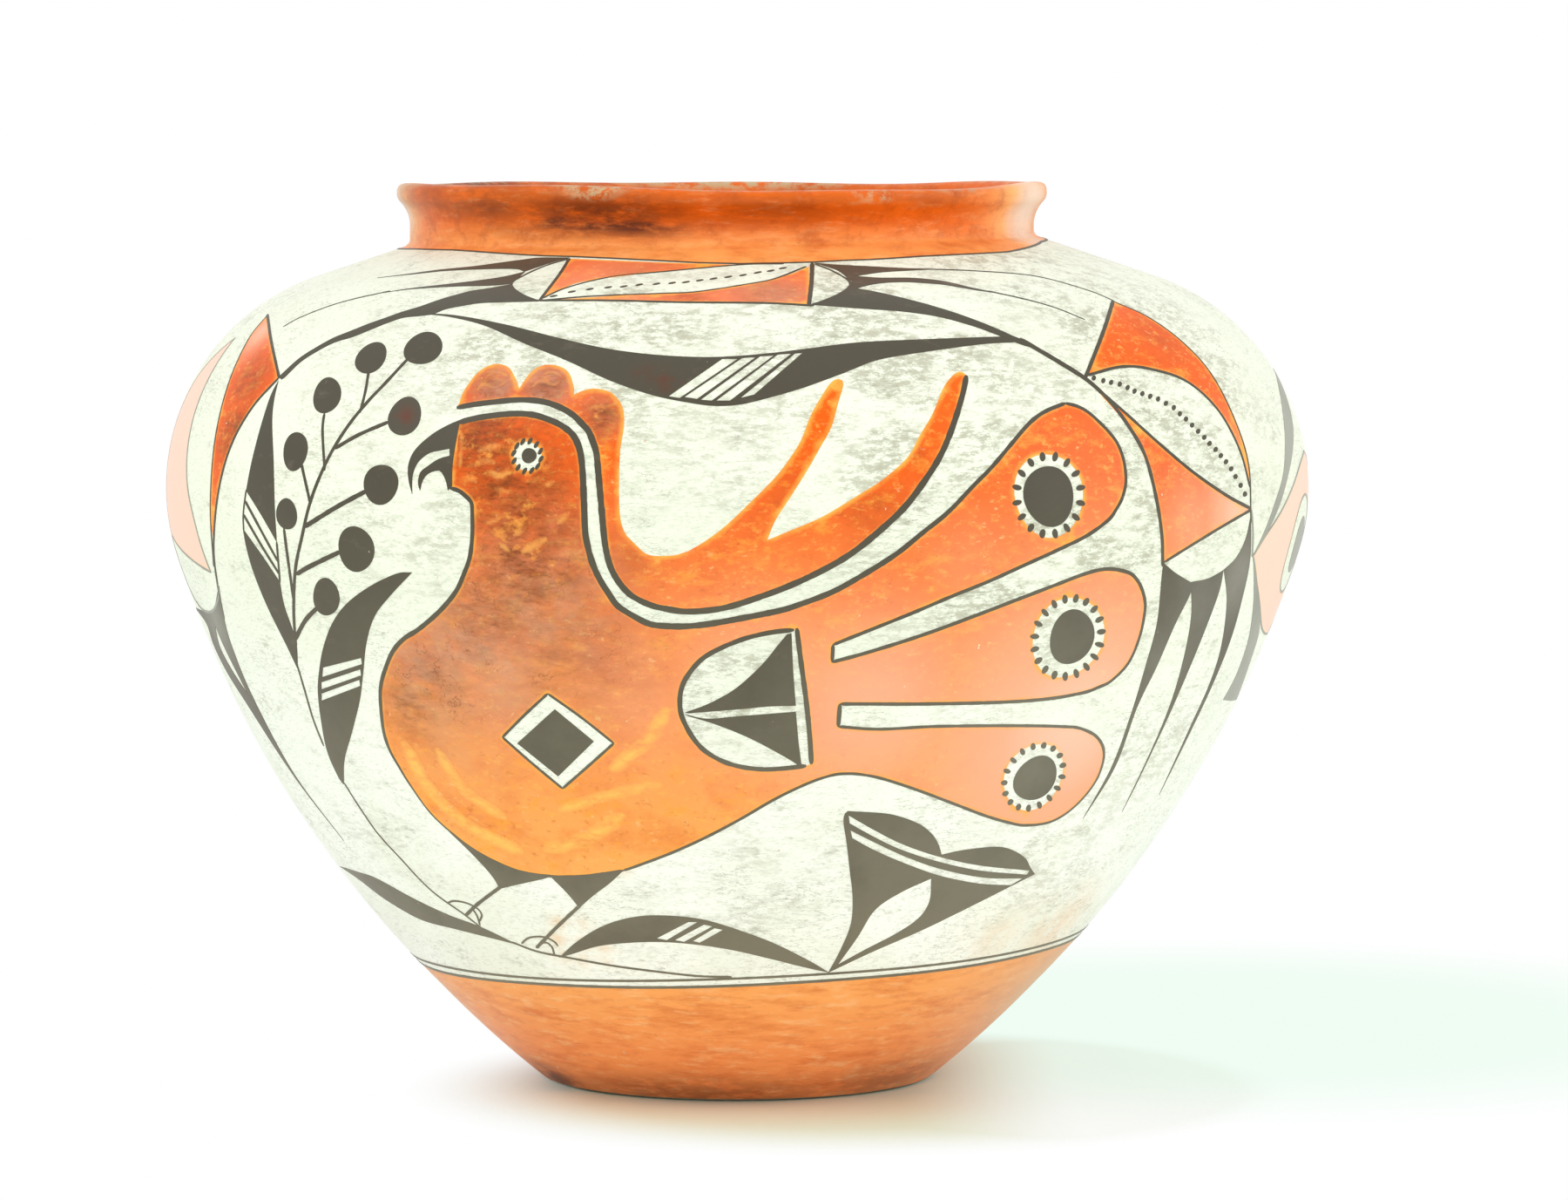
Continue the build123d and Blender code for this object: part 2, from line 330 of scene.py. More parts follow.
# Orange slip wiped round foot and neck and polished: level streaks, smoked smears, worn to clay on the lip
smear = dict(size=18.0, flat=5.0, detail=7.0, grain=0.68, seed=(0.9, 1.6, 2.4))
orangeSlipFinish = dict(polished, ground="#ea6a10", bump=dict(smear, depth=0.15), layers=[
    ("#f99a55", 1.0, [dict(height=True, cut=(180, 20))]),
    # painted highlight and glare: the top of the foot, the neck low down in front, and both ends of the neck
    ("#ffb062", 1.0, [paintedHighlightMask]),
    ("#d3601f", 0.5, [dict(smear, cut=(0.5, 0.68))]),
    ("#ffc486", 0.6, [dict(smear, size=9.0, flat=4.5, seed=(3, 4, 1), cut=(0.52, 0.66)),
        dict(height=True, cut=(290, 150))]),
    ("#c9531a", 0.3, [dict(smear, size=9.0, flat=4.0, seed=(6, 2, 7), cut=(0.5, 0.68))]),
    ("#a8430f", 0.4, [dict(height=True, cut=(212, 228)),
        dict(size=7.0, flat=1.1, detail=7.0, grain=0.7, seed=(2, 5, 8), cut=(0.5, 0.66))]),
    # brown: smoke on the neck, and painted shade low on the foot and inside the far rim
    ("#6a3114", 1.0, [browned, dict(smear, size=9.0, flat=3.4, seed=(4, 0, 6), cut=(0.24, 0.52))]),
    ("#8a5a34", 0.4, [dict(size=2.4, detail=4.0, seed=(9, 2, 2), cut=(0.68, 0.76))]),
    ("#c3ab82", 0.95, [dict(attribute="edge", cut=(8.0, 3.5)),
        dict(size=4.0, detail=6.0, grain=0.7, seed=(1, 8, 3), cut=(0.44, 0.56))]),
    # worn: tan wear, and the greyish tan of painted shade on the foot's right side and of a painted highlight
    # on its left
    ("#dcb896", 0.85, [wornAndSideShadeMask]),
    # painted glare, washing the slip out
    ("#f3dccb", 0.9, [paintedGlareWashout]),
    ("#d5cbb8", 0.85, [dict(size=4.0, detail=2.0, seed=(7, 5, 3), cut=(0.76, 0.79))])])

# Black mineral paint, boiled plant and iron: a warm near-black, thin and a little red where the brush ran dry
blackFinish = dict(polished, ground="#4e493c", bump=dict(brush, depth=0.08), layers=[
    # lighter low down: a painted reflection of the white floor
    ("#7e7865", 1.0, [dict(height=True, cut=(170, 40))]),
    # painted glare
    ("#8f8d7f", 1.0, [paintedHighlightMask]),
    ("#4b4639", 0.35, [dict(size=22, seed=(0.2, 0.9, 0.4), cut=(0.42, 0.68))]),
    ("#776f5e", 0.45, [dict(brush, cut=(0.58, 0.76))]),
    ("#6b301c", 0.9, [browned, dict(size=6.5, seed=(4.1, 2.3, 1.5), cut=(0.38, 0.58))]),
    # painted glare, washing the black out
    ("#c8ccc1", 1.0, [paintedGlareWashout]),
    ("#b3ac98", 0.7, [dict(size=2.2, detail=2.0, seed=(7, 5, 3), cut=(0.75, 0.8))])])

# Bare fired clay: buff and grey, with the drag of a gourd scraper and specks of ground sherd
drag = dict(size=17.0, flat=7.0, detail=6.0, grain=0.7, seed=(0, 3, 0))
clayFinish = dict(rough=0.85, specular=0.25, ground="#cdbb9b", bump=dict(drag, depth=0.4), layers=[
    ("#a89c86", 1.0, [dict(size=60, seed=(2, 0, 1), cut=(0.36, 0.64))]),
    ("#b9a688", 0.5, [dict(drag, cut=(0.5, 0.75))]),
    ("#7f7462", 0.6, [dict(size=1.4, detail=2.0, seed=(5, 5, 5), cut=(0.66, 0.72))])])

whiteSlip = makeSurface("white_slip_stone_polished", whiteFinish)
orangePaint = makeSurface("orange_mineral_paint_brushed", orangePaintFinish)
wipedPaint = makeSurface("orange_mineral_paint_wiped_thin", wipedFinish)
orangeSlip = makeSurface("orange_slip_stone_polished", orangeSlipFinish)
blackPaint = makeSurface("black_mineral_paint_brushed", blackFinish)
firedClay = makeSurface("earthenware_scraped_and_fired", clayFinish)
print("materials made")

sharpAngle = 0.6              # radians, edges that bend more stay sharp


def addObject(name, data):
    # an object in the scene that holds a mesh, a light or a lens
    made = bpy.data.objects.new(name, data)
    bpy.context.scene.collection.objects.link(made)
    return made


def addPiece(name, points, faces, material, replaced=(), values=None, caps=()):
    # a smooth mesh from points in mm, with the solid it stands for and its own attributes
    mesh = bpy.data.meshes.new(name)
    mesh.from_pydata((points * mm).tolist(), [], [*faces.tolist(), *caps])
    mesh.update()
    mesh.shade_smooth()
    mesh.set_sharp_from_angle(angle=sharpAngle)
    for key, value in (values or {}).items():
        mesh.attributes.new(key, "FLOAT", "POINT").data.foreach_set("value", np.asarray(value, np.float32))
    mesh.materials.append(material)
    piece = addObject(name, mesh)
    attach(piece, "root")
    if replaced:
        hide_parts(*replaced)


def ringFaces(rows, columns):
    # quads of a grid that closes on itself in both directions
    row, column = np.meshgrid(np.arange(rows), np.arange(columns), indexing="ij")
    here, above = row * columns, (row + 1) % rows * columns
    beside = (column + 1) % columns
    return np.stack([here + column, here + beside, above + beside, above + column], -1).reshape(-1, 4)


def outwards(points, faces):
    # the quads turned so that the volume inside them, summed over tetrahedra from the origin, is positive
    corners = points[np.vstack([faces[:, [0, 1, 2]], faces[:, [0, 2, 3]]])]
    volume = np.einsum("ij,ij->i", corners[:, 0], np.cross(corners[:, 1], corners[:, 2])).sum()
    return faces if volume > 0 else faces[:, ::-1]


def allRound(count):
    # turns at an even spacing, once round
    return np.linspace(0, 2 * np.pi, count, endpoint=False)


def turnedRing(section, count, axis=0.0):
    # a closed section of (radius, height) carried round an upright axis
    points = carried(allRound(count)[:, None], section[:, 0], section[:, 1], axis)
    return points, ringFaces(count, len(section))


def between(start, end, count):
    # points at an even spacing on a straight line
    return start + (end - start) * np.linspace(0, 1, count)[:, None]


def arcPoints(centre, radius, start, end, count):
    # points at an even spacing on an arc
    return centre + radius * direction(np.linspace(start, end, count))


def joined(*runs):
    # runs end to end, each without its last point, which the next one begins with
    return np.vstack([part[:-1] for part in runs])


# Clay: the pad and its rings, each closed, with lapped joints and a scraped inside that is left a little wavy
clay = {"round": 200, "outRows": 14, "inRows": 22, "lapRows": 4, "seam": 0.03, "scrape": 0.35, "clear": 0.02,
        "boreGap": 0.05, "boreShare": 0.99}
coilRise = (wallLength - jar["padRise"]) / jar["coils"]
joints = jar["padRise"] + coilRise * np.arange(jar["coils"] + 1)
inDepth = jar["slip"] + jar["wall"]


def addClay(name, points, faces, caps=()):
    # a clay piece as the hand left it, in place of the solid of the same name
    points = handShape(points)
    addPiece(name + "_clay", points, outwards(points, faces), firedClay, (name,), caps=caps)


def coilInside(low, high):
    # the inside face sinks a little at each joint, where the fingers pressed it: half a sine wave
    share = np.linspace(0, 1, clay["inRows"])
    depth = inDepth + clay["scrape"] * (np.sin(np.pi * share) - 1.0)
    return wallPoint(np.linspace(low, high, clay["inRows"]), depth)


def cutByBore(points):
    # the last ring ends at the neck's own bore, off centre: points inside it slide down the shoulder
    bore = jar["neckRadius"] - jar["slip"] + clay["boreGap"]
    angle = np.arctan2(points[:, 0], -points[:, 1])
    inside = np.maximum(boreRadius(angle, bore) - np.hypot(points[:, 0], points[:, 1]), 0)
    slide = np.stack([np.sin(angle), -np.cos(angle), np.full_like(angle, -np.tan(jar["slope"]))], -1)
    return points + (clay["boreShare"] * inside)[:, None] * slide


def addCoil(number):
    # up the outside, over the lapped joint, down the inside and back along the joint below
    low, high = joints[number] + clay["seam"], joints[number + 1] - clay["seam"]
    outside = wallPoint(np.linspace(low, high, clay["outRows"]), jar["slip"] + clay["clear"])
    inside = coilInside(low - jar["lap"], high - jar["lap"])[::-1]
    top = between(outside[-1], inside[0], clay["lapRows"])
    bottom = between(inside[-1], outside[0], clay["lapRows"])
    points, faces = turnedRing(joined(outside, top, inside, bottom), clay["round"])
    last = number == jar["coils"] - 1
    addClay(f"body_coil_{number + 1:02d}", cutByBore(points) if last else points, faces)


def floorCorner(depth, floor, corner):
    # the centre of the arc that turns from a flat floor into the lower wall, and the turn where they meet
    rise = floor + corner - lowerCentre[1]
    across = np.sqrt((jar["lowerCurve"] - depth - corner) ** 2 - rise ** 2)
    return np.array([lowerCentre[0] + across, floor + corner]), np.arctan2(rise, across)


pad = {"axisGap": 0.6, "dishRows": 16, "flatRows": 6, "cornerRows": 8, "outRows": 10, "inRows": 6,
       "turnRows": 12, "floorRows": 8}
footCorner, footTurn = floorCorner(jar["slip"], 0.0, jar["footRound"])
footLength = jar["lowerCurve"] * (footTurn - lowerStart)


def addPad():
    # dished underside, flat ring, worn corner, wall to the first joint, then back down inside to the floor
    hollowRadius = footCorner[0] - jar["footFlat"]
    hollowCurve = (hollowRadius ** 2 + jar["hollow"] ** 2) / (2 * jar["hollow"])
    radii = np.linspace(pad["axisGap"], hollowRadius, pad["dishRows"])
    dish = np.stack([radii, jar["hollow"] - hollowCurve + np.sqrt(hollowCurve ** 2 - radii ** 2)], -1)
    flat = between(dish[-1], np.array([footCorner[0], 0.0]), pad["flatRows"])
    corner = arcPoints(footCorner, jar["footRound"], -np.pi / 2, footTurn, pad["cornerRows"])
    top = joints[0] - clay["seam"]
    outside = wallPoint(np.linspace(footLength, top, pad["outRows"]), jar["slip"])
    innerCentre, innerTurn = floorCorner(inDepth, jar["floor"], jar["floorRound"])
    innerStart = jar["lowerCurve"] * (innerTurn - lowerStart)
    wall = wallPoint(np.linspace(top - jar["lap"], innerStart, pad["inRows"]), inDepth)
    turn = arcPoints(innerCentre, jar["floorRound"], innerTurn, -np.pi / 2, pad["turnRows"])
    middle = np.array([pad["axisGap"], jar["floor"]])
    floor = between(np.array([innerCentre[0], jar["floor"]]), middle, pad["floorRows"])
    lapFace = between(outside[-1], wall[0], clay["lapRows"])
    section = np.vstack([joined(dish, flat, corner, outside, lapFace, wall, turn), floor])
    points, faces = turnedRing(section, clay["round"])
    size = len(section)
    # two round caps at the axis take the place of the quads between the section's ends
    first = np.arange(clay["round"]) * size
    along = faces % size
    gap = (along == 0).any(1) & (along == size - 1).any(1)
    addClay("base_pad", points, faces[~gap], [first[::-1].tolist(), (first + size - 1).tolist()])


addPad()
for number in range(jar["coils"]):
    addCoil(number)
print("pad and coils made")


def sootWearAndPaintedLight(points, marks):
    # marks of soot, wear and stain, and of painted glare, highlight and shade; each mark is a soft round
    # spot: its place in mm, its reach across and upright, and how strong it is
    dark = np.zeros(len(points))
    for place, across, upright, share in marks:
        away = (points - np.array(place)) / np.array([across, across, upright])
        dark = np.maximum(dark, share * np.exp(-(away ** 2).sum(1)))
    return dark


def spots(marks):
    # the same marks given by pixels of the photograph, found on the jar
    place = onJar([mark[:2] for mark in marks]) if marks else np.zeros((0, 2))
    found = toSurface(place[:, 0], place[:, 1], 0.0)
    return [(point, reach, reach, share) for point, (x, y, reach, share) in zip(found, marks)]


def bothSides(points, marks):
    # marks by pixels, in front and again half a turn round
    return np.maximum(sootWearAndPaintedLight(points, spots(marks)), sootWearAndPaintedLight(points * [-1, -1, 1], spots(marks)))


# Paint and slip lie as closed films, in mm above and below the slip's face, so every line keeps its edge
film = {"orange": 0.06, "wiped": 0.09, "black": 0.12, "sunk": -0.1}

# Neck: a wall that bends out to a round lip, about an axis of its own. Its slip meets the shoulder in a soft
# hollow, and the lip's top outer corner is squarer than a round.
neck = {"round": 480, "straightRows": 8, "bendRows": 12, "lipRows": 14, "skirtRows": 12, "hollowRows": 9,
        "fillet": 2.0, "squircle": 0.66, "leastSkirt": 0.5, "sideTurns": np.radians([75.0, 90.0]),
        "sideReach": [88.3, 87.2], "leastWear": 0.25, "unworn": 7.0, "pale": (6.5, 0.5), "paleShare": 0.3,
        "paleDepth": 190.0, "paleLeast": 0.15, "smokeAndShade": (5.0, 10.0), "smokeAndShadeShare": 0.14, "smokeWidth": 220.0,
        "smokeMost": 0.4}
neckEdge = run(500,287, 540,290, 620,295, 655,296, 700,298, 760,301, 800,303, 850,304, 900,303, 935,302,
    970,300, 1000,299, 1060,295, 1100,293, 1160,290)
# Smoke smears on the neck; the last mark, inside the far rim on the left, is a painted shade
neckSmokeAndShade = [((-26, -80, 230), 16, 3.0, 1.1), ((-38, -77, 231), 19, 3.0, 1.3), ((-34, -78, 234), 28, 6, 0.9),
    ((-62, -58, 235), 22, 5, 0.7), ((-55, -64, 230), 14, 3, 0.5), ((50, -65, 238), 14, 3, 0.4),
    ((8, -83, 235), 26, 5, 0.55), ((30, 78, 234), 30, 6, 0.8), ((-72, 46, 238), 22, 7, 1.1)]
lipMarks = [((-37, -80, 240), 11, 6, 1.0), ((37, -78, 240), 8, 6, 1.0), ((-80, -20, 240), 14, 8, 0.9),
    ((60, -60, 241), 12, 5, 0.6), ((0, 84, 240), 40, 6, 0.8)]
# Painted glare at the neck's right and left ends
neckGlareMarks = [((82, -28, 233), 22, 18, 1.9), ((-88, -12, 234), 13, 14, 1.5)]
# Greyish tan patches at the neck's right and left sides
neckSideTan = [((-92, -4, 236), 20, 14, 0.8), ((86, -16, 233), 24, 16, 0.5)]

lipHalf = jar["wall"] / 2 + jar["slip"]
lipCentre = np.array([jar["neckRadius"] + jar["flare"] - lipHalf, jarHeight - lipHalf])
flareHeight = seatHeight + jar["straight"]
lipRise = lipCentre[1] - flareHeight
flareReach = ((lipHalf - jar["flare"]) ** 2 + lipRise ** 2 - lipHalf ** 2) / (2 * jar["flare"])
flareCentre = np.array([jar["neckRadius"] + flareReach, flareHeight])
lipTurn = np.arctan2(lipRise, lipCentre[0] - flareCentre[0])
seatDrop = (abs(jar["neckShift"]) - jar["slip"]) * np.tan(jar["slope"])
neckBottom = seatHeight - seatDrop - inDepth / np.cos(jar["slope"])


def lipRun(depth):
    # from the top of the upright part, out round the flare, over the lip and down the inside
    inner = jar["neckRadius"] - 2 * lipHalf + depth
    bend = arcPoints(flareCentre, flareReach + depth, np.pi, lipTurn, neck["bendRows"])
    lip = arcPoints(lipCentre, lipHalf - depth, lipTurn - np.pi, lipTurn, neck["lipRows"])
    back = arcPoints(flareCentre, flareReach + 2 * lipHalf - depth, lipTurn, np.pi, neck["bendRows"])
    down = between(np.array([inner, flareHeight]), np.array([inner, neckBottom]), neck["straightRows"])
    return np.vstack([joined(bend, lip, back), down])


def neckRun(depth, low):
    # the same with the upright part before it, from a height up
    outer = jar["neckRadius"] - depth
    up = between(np.array([outer, low]), np.array([outer, flareHeight]), neck["straightRows"])
    return np.vstack([up[:-1], lipRun(depth)])


def neckBorder(angle):
    # how far from the neck's axis the orange reaches over the shoulder, the same on the far side
    points = toSurface(*onJar(neckEdge).T, 0.0) - [jar["neckShift"], 0, 0]
    turns = np.append(np.arctan2(points[:, 0], -points[:, 1]), neck["sideTurns"])
    reach = np.append(np.hypot(points[:, 0], points[:, 1]), neck["sideReach"])
    return np.interp(angle, turns, reach, period=np.pi)


def shoulderHeight(angle, reach):
    # the shoulder's height at a distance from the neck's axis
    radius = np.hypot(jar["neckShift"] + reach * np.sin(angle), reach * np.cos(angle))
    return seatHeight - (radius - jar["neckRadius"]) * np.tan(jar["slope"])


def addNeckClay():
    # one section for neck coil and rim coil, parted at a joint that is lower on the inside
    face = neckRun(jar["slip"], neckBottom)
    outer = jar["neckRadius"] - jar["slip"]
    joint = seatHeight + jar["neckJoint"]
    above = face[:, 1] > joint + (face[:, 0] - outer) * jar["neckLap"] / jar["wall"]
    first, final = np.flatnonzero(above)[[0, -1]]
    ends = np.array([[outer, joint], [face[-1, 0], joint - jar["neckLap"]]])
    lower = np.vstack([face[:first], ends, face[final + 1:]])
    raised = ends + [0, clay["seam"]]
    upper = np.vstack([raised[:1], face[first:final + 1], raised[1:]])
    for name, section in (("neck_coil", lower), ("rim_coil", upper)):
        addClay(name, *turnedRing(section, clay["round"], jar["neckShift"]))


def addCoat(name, points, rows, material, values):
    # a coat of slip, a closed grid with rows that go round, in place of the solid of the same name
    faces = outwards(points, ringFaces(rows, len(points) // rows))
    addPiece(name + "_coat", points, faces, material, (name,), values)


def addNeckCoat():
    # a film on the shoulder, a soft hollow, up over the lip and down inside, then back behind all that
    count, fillet, slope = neck["round"], neck["fillet"], jar["slope"]
    angle = allRound(count)[:, None]
    foot = jar["neckRadius"] + fillet * (1 - np.sin(slope))
    border = np.maximum(neckBorder(angle), foot + neck["leastSkirt"])
    skirt = border + (foot - border) * np.linspace(0, 1, neck["skirtRows"])
    skirtHeight = shoulderHeight(angle, skirt)
    turn = np.linspace(slope, np.pi / 2, neck["hollowRows"])[1:]
    hollow = np.broadcast_to(jar["neckRadius"] + fillet * (1 - np.sin(turn)), (count, len(turn)))
    hollowHeight = shoulderHeight(angle, foot) + film["orange"] + fillet * (np.cos(slope) - np.cos(turn))
    front = lipRun(0.0)
    square = lipCentre + lipHalf * np.clip((front - lipCentre) / lipHalf, 0, 1) ** neck["squircle"]
    front = np.where((front > lipCentre).all(1)[:, None], square, front)
    back = neckRun(jar["slip"] - clay["clear"], seatHeight)[::-1]
    sides = np.broadcast_to(np.vstack([front, back]), (count, len(front) + len(back), 2))
    radius = np.hstack([skirt, hollow, sides[..., 0], skirt[:, ::-1]])
    height = np.hstack([skirtHeight + film["orange"], hollowHeight, sides[..., 1],
                        skirtHeight[:, ::-1] + film["sunk"]])
    points = carried(angle, radius, height, jar["neckShift"])
    # its attributes: distance from the worn lip; a painted highlight low down in front, where the slip turns
    # up onto the shoulder, and painted glare at both ends; smoke at the top on the left, and a painted shade
    # inside the far rim
    wear = np.maximum(sootWearAndPaintedLight(points, lipMarks), neck["leastWear"])
    lip = np.hypot(radius - lipCentre[0], height - jarHeight).reshape(-1) + neck["unworn"] * (1 - wear)
    rise = points[:, 2] - seatHeight
    inFront = np.clip(neck["paleShare"] - points[:, 1] / neck["paleDepth"], neck["paleLeast"], 1)
    paintedHighlight = np.maximum(ramp(rise, *neck["pale"]) * inFront, sootWearAndPaintedLight(points, neckGlareMarks))
    onLeft = np.clip(neck["smokeAndShadeShare"] - points[:, 0] / neck["smokeWidth"], 0, neck["smokeMost"])
    brown = np.maximum(sootWearAndPaintedLight(points, neckSmokeAndShade), ramp(rise, *neck["smokeAndShade"]) * onLeft)
    points = handShape(points)
    addCoat("neck_orange_slip", points, count, orangeSlip,
            {"brown": brown, "edge": lip, "paintedHighlight": paintedHighlight, "wornAndSideShade": sootWearAndPaintedLight(points, neckSideTan)})


# Slip: a white coat from the painted line to the neck and an orange one from that line down round the foot
# On the foot: darker over the lowest 10 mm, a painted shade near the floor, and lighter towards its top, a
# painted highlight
slip = {"round": 400, "whiteRows": 172, "inEvery": 3, "footRows": 44, "cornerRows": 10, "gap": 0.02,
        "boreGap": 0.05, "lineSteps": 8, "smokeAndShade": (10.0, 0.0), "smokeAndShadeShare": 0.35, "pale": (16.0, 32.0),
        "paleShare": 0.7, "unworn": 9.0}
wornMarks = [(1000, 370, 46, 1.1), (1330, 430, 42, 1.1), (1290, 560, 40, 1.1), (1100, 520, 44, 1.0),
    (1160, 660, 34, 0.9), (700, 390, 38, 1.0), (560, 370, 30, 0.9), (1200, 320, 36, 1.0),
    (860, 500, 26, 0.55), (470, 600, 26, 0.6), (420, 500, 18, 0.4), (1200, 980, 30, 0.5), (420, 960, 20, 0.4),
    (860, 1010, 24, 0.4), (850, 800, 20, 0.9), (1330, 850, 24, 0.5)]
stainMarks = [(640, 1060, 2.6, 0.8), (640, 1078, 2.6, 0.9), (641, 1096, 2.6, 0.9), (668, 1062, 2.6, 0.7),
    (669, 1082, 2.6, 0.9), (668, 1102, 2.6, 0.8), (692, 1088, 2.4, 0.6), (692, 1104, 2.4, 0.6),
    (1215, 1065, 14, 0.6), (1150, 1075, 12, 0.4), (711, 996, 2.4, 0.9)]
# Painted shade low on the foot's front, near the floor
footShadeMarks = [((-46, -26, 3), 14, 5, 1.0), ((-10, -56, 2), 44, 6, 0.65), ((40, -40, 4), 26, 7, 0.6)]
# A painted highlight on the foot's left front
footHighlightMarks = [((-52, -52, 33), 16, 7, 0.5)]
# Greyish tan at the foot's sides: painted shade on the right, a painted highlight on the left
footSideShadeAndHighlight = [((84, -18, 27), 34, 26, 0.95), ((-84, -6, 28), 22, 20, 0.9)]


def slipLine(angle):
    # the painted line as a wall length: a tilted plane, whose height climbs with x
    height = np.full_like(angle, jar["lineHeight"])
    for step in range(slip["lineSteps"]):
        across = np.interp(height, tableHeight, tableRadius) * np.sin(angle)
        height = jar["lineHeight"] + jar["lineTilt"] * across
    return np.interp(height, tableHeight, tableLength)


def shell(angle, lengths, inEvery):
    # the outer face up, then every few rows of the inner face back down, closed at both borders
    behind = lengths[:, ::-inEvery]
    outer = toSurface(angle[:, None], lengths, 0.0).reshape(*lengths.shape, 3)
    inner = toSurface(angle[:, None], behind, -jar["slip"]).reshape(*behind.shape, 3)
    return np.concatenate([outer, inner], 1)


def addWhiteSlip():
    # rows at an even spacing from the painted line to the neck
    angle = allRound(slip["round"])
    low = slipLine(angle)
    high = shoulderLength(boreRadius(angle, jar["neckRadius"] - slip["boreGap"]))
    lengths = low[:, None] + (high - low)[:, None] * np.linspace(0, 1, slip["whiteRows"])
    points = shell(angle, lengths, slip["inEvery"]).reshape(-1, 3)
    addCoat("body_white_slip", points, slip["round"], whiteSlip,
            {"wornAndSideShade": bothSides(points, wornMarks), "brown": bothSides(points, stainMarks)})


def addFootSlip():
    # round the foot's worn corner, up the wall to the painted line, and back behind
    count = slip["round"]
    angle = allRound(count)
    share = np.linspace(0, 1, slip["footRows"])
    lengths = footLength + (slipLine(angle) - slip["gap"] - footLength)[:, None] * share
    start = np.arcsin((jar["slipEdge"] - footCorner[1]) / (jar["footRound"] + jar["slip"]))
    bend = direction(np.linspace(start, footTurn, slip["cornerRows"])[:-1])
    corners = []
    for thick in (jar["slip"], 0.0):
        section = footCorner + (jar["footRound"] + thick) * bend
        corner = handShape(carried(angle[:, None], section[:, 0], section[:, 1]))
        corners.append(corner.reshape(count, len(bend), 3))
    points = np.concatenate([corners[0], shell(angle, lengths, 1), corners[1][:, ::-1]], 1).reshape(-1, 3)
    height = points[:, 2]
    # painted shade near the floor, and a painted highlight towards the foot's top and on its left front
    brown = np.maximum(slip["smokeAndShadeShare"] * ramp(height, *slip["smokeAndShade"]), sootWearAndPaintedLight(points, footShadeMarks))
    paintedHighlight = np.maximum(slip["paleShare"] * ramp(height, *slip["pale"]), sootWearAndPaintedLight(points, footHighlightMarks))
    edge = np.full(len(points), slip["unworn"])
    addCoat("underbody_orange_slip", points, count, orangeSlip,
            {"brown": brown, "edge": edge, "paintedHighlight": paintedHighlight, "wornAndSideShade": sootWearAndPaintedLight(points, footSideShadeAndHighlight)})


addNeckClay()
addNeckCoat()
addWhiteSlip()
addFootSlip()
print("neck and coats of slip made")

# Painted films are laid out on a chart of the unrolled wall, in mm both ways, and stood on the jar afterwards
chart = {"radius": 130.0, "curveSteps": 9, "fewestSteps": 3, "edgeStep": 1.0, "fewestEdges": 26, "net": 2.2,
         "jitter": 0.3, "clear": 1.0, "block": 800, "weld": 1e-4}
stroke = {"step": 0.8, "across": (1.0, 0.0, -1.0, -1.0, 1.0), "ridge": 0.01, "swell": 0.05, "steady": 9,
          "endShare": 0.2, "leastWidth": 0.3}


def curve(points):
    # Catmull-Rom through the points of a run, and a straight line through only two
    if len(points) < 3:
        return between(points[0], points[-1], chart["curveSteps"])
    padded = np.vstack([2 * points[0] - points[1], points, 2 * points[-1] - points[-2]])
    t = np.linspace(0, 1, chart["curveSteps"])[None, :-1, None]
    a, b, c, d = (padded[k:len(padded) - 3 + k][:, None] for k in range(4))
    inner = 2 * b + (c - a) * t
    inner = inner + (2 * a - 5 * b + 4 * c - d) * t ** 2
    inner = inner + (3 * b - a - 3 * c + d) * t ** 3
    return np.vstack([0.5 * inner.reshape(-1, 2), points[-1:]])


def even(path, step):
    # the same path with points at an even spacing, at least a few of them
    far = np.concatenate([[0], np.cumsum(np.hypot(*np.diff(path, axis=0).T))])
    count = max(chart["fewestSteps"], int(np.ceil(far[-1] / step)) + 1)
    marks = np.linspace(0, far[-1], count)
    return np.stack([np.interp(marks, far, path[:, k]) for k in (0, 1)], -1)


def charted(points, flat):
    # a run's smooth curve on the chart; the points of a flat one are degrees round the jar and mm up its wall
    path = curve(points)
    path = np.stack([np.radians(path[:, 0]), path[:, 1]], -1) if flat else onJar(path)
    return path * [chart["radius"], 1.0]


def nearest(points, rim):
    # distance from each point to the closest point of the rim, a block of points at a time
    away = np.empty(len(points))
    for first in range(0, len(points), chart["block"]):
        part = slice(first, first + chart["block"])
        away[part] = np.sqrt(((points[part, None] - rim[None]) ** 2).sum(-1).min(1))
    return away


def chartedLoop(runs, flat):
    # an outline's runs with points at an even spacing, always the same way round
    paths = [charted(points, flat) for points in runs]
    size = sum(np.hypot(*np.diff(path, axis=0).T).sum() for path in paths)
    step = min(chart["edgeStep"], size / chart["fewestEdges"])
    path = np.vstack([even(path, step)[:-1] for path in paths])
    turn = (path[:, 0] * np.roll(path[:, 1], -1) - path[:, 1] * np.roll(path[:, 0], -1)).sum()
    return path if turn > 0 else path[::-1]


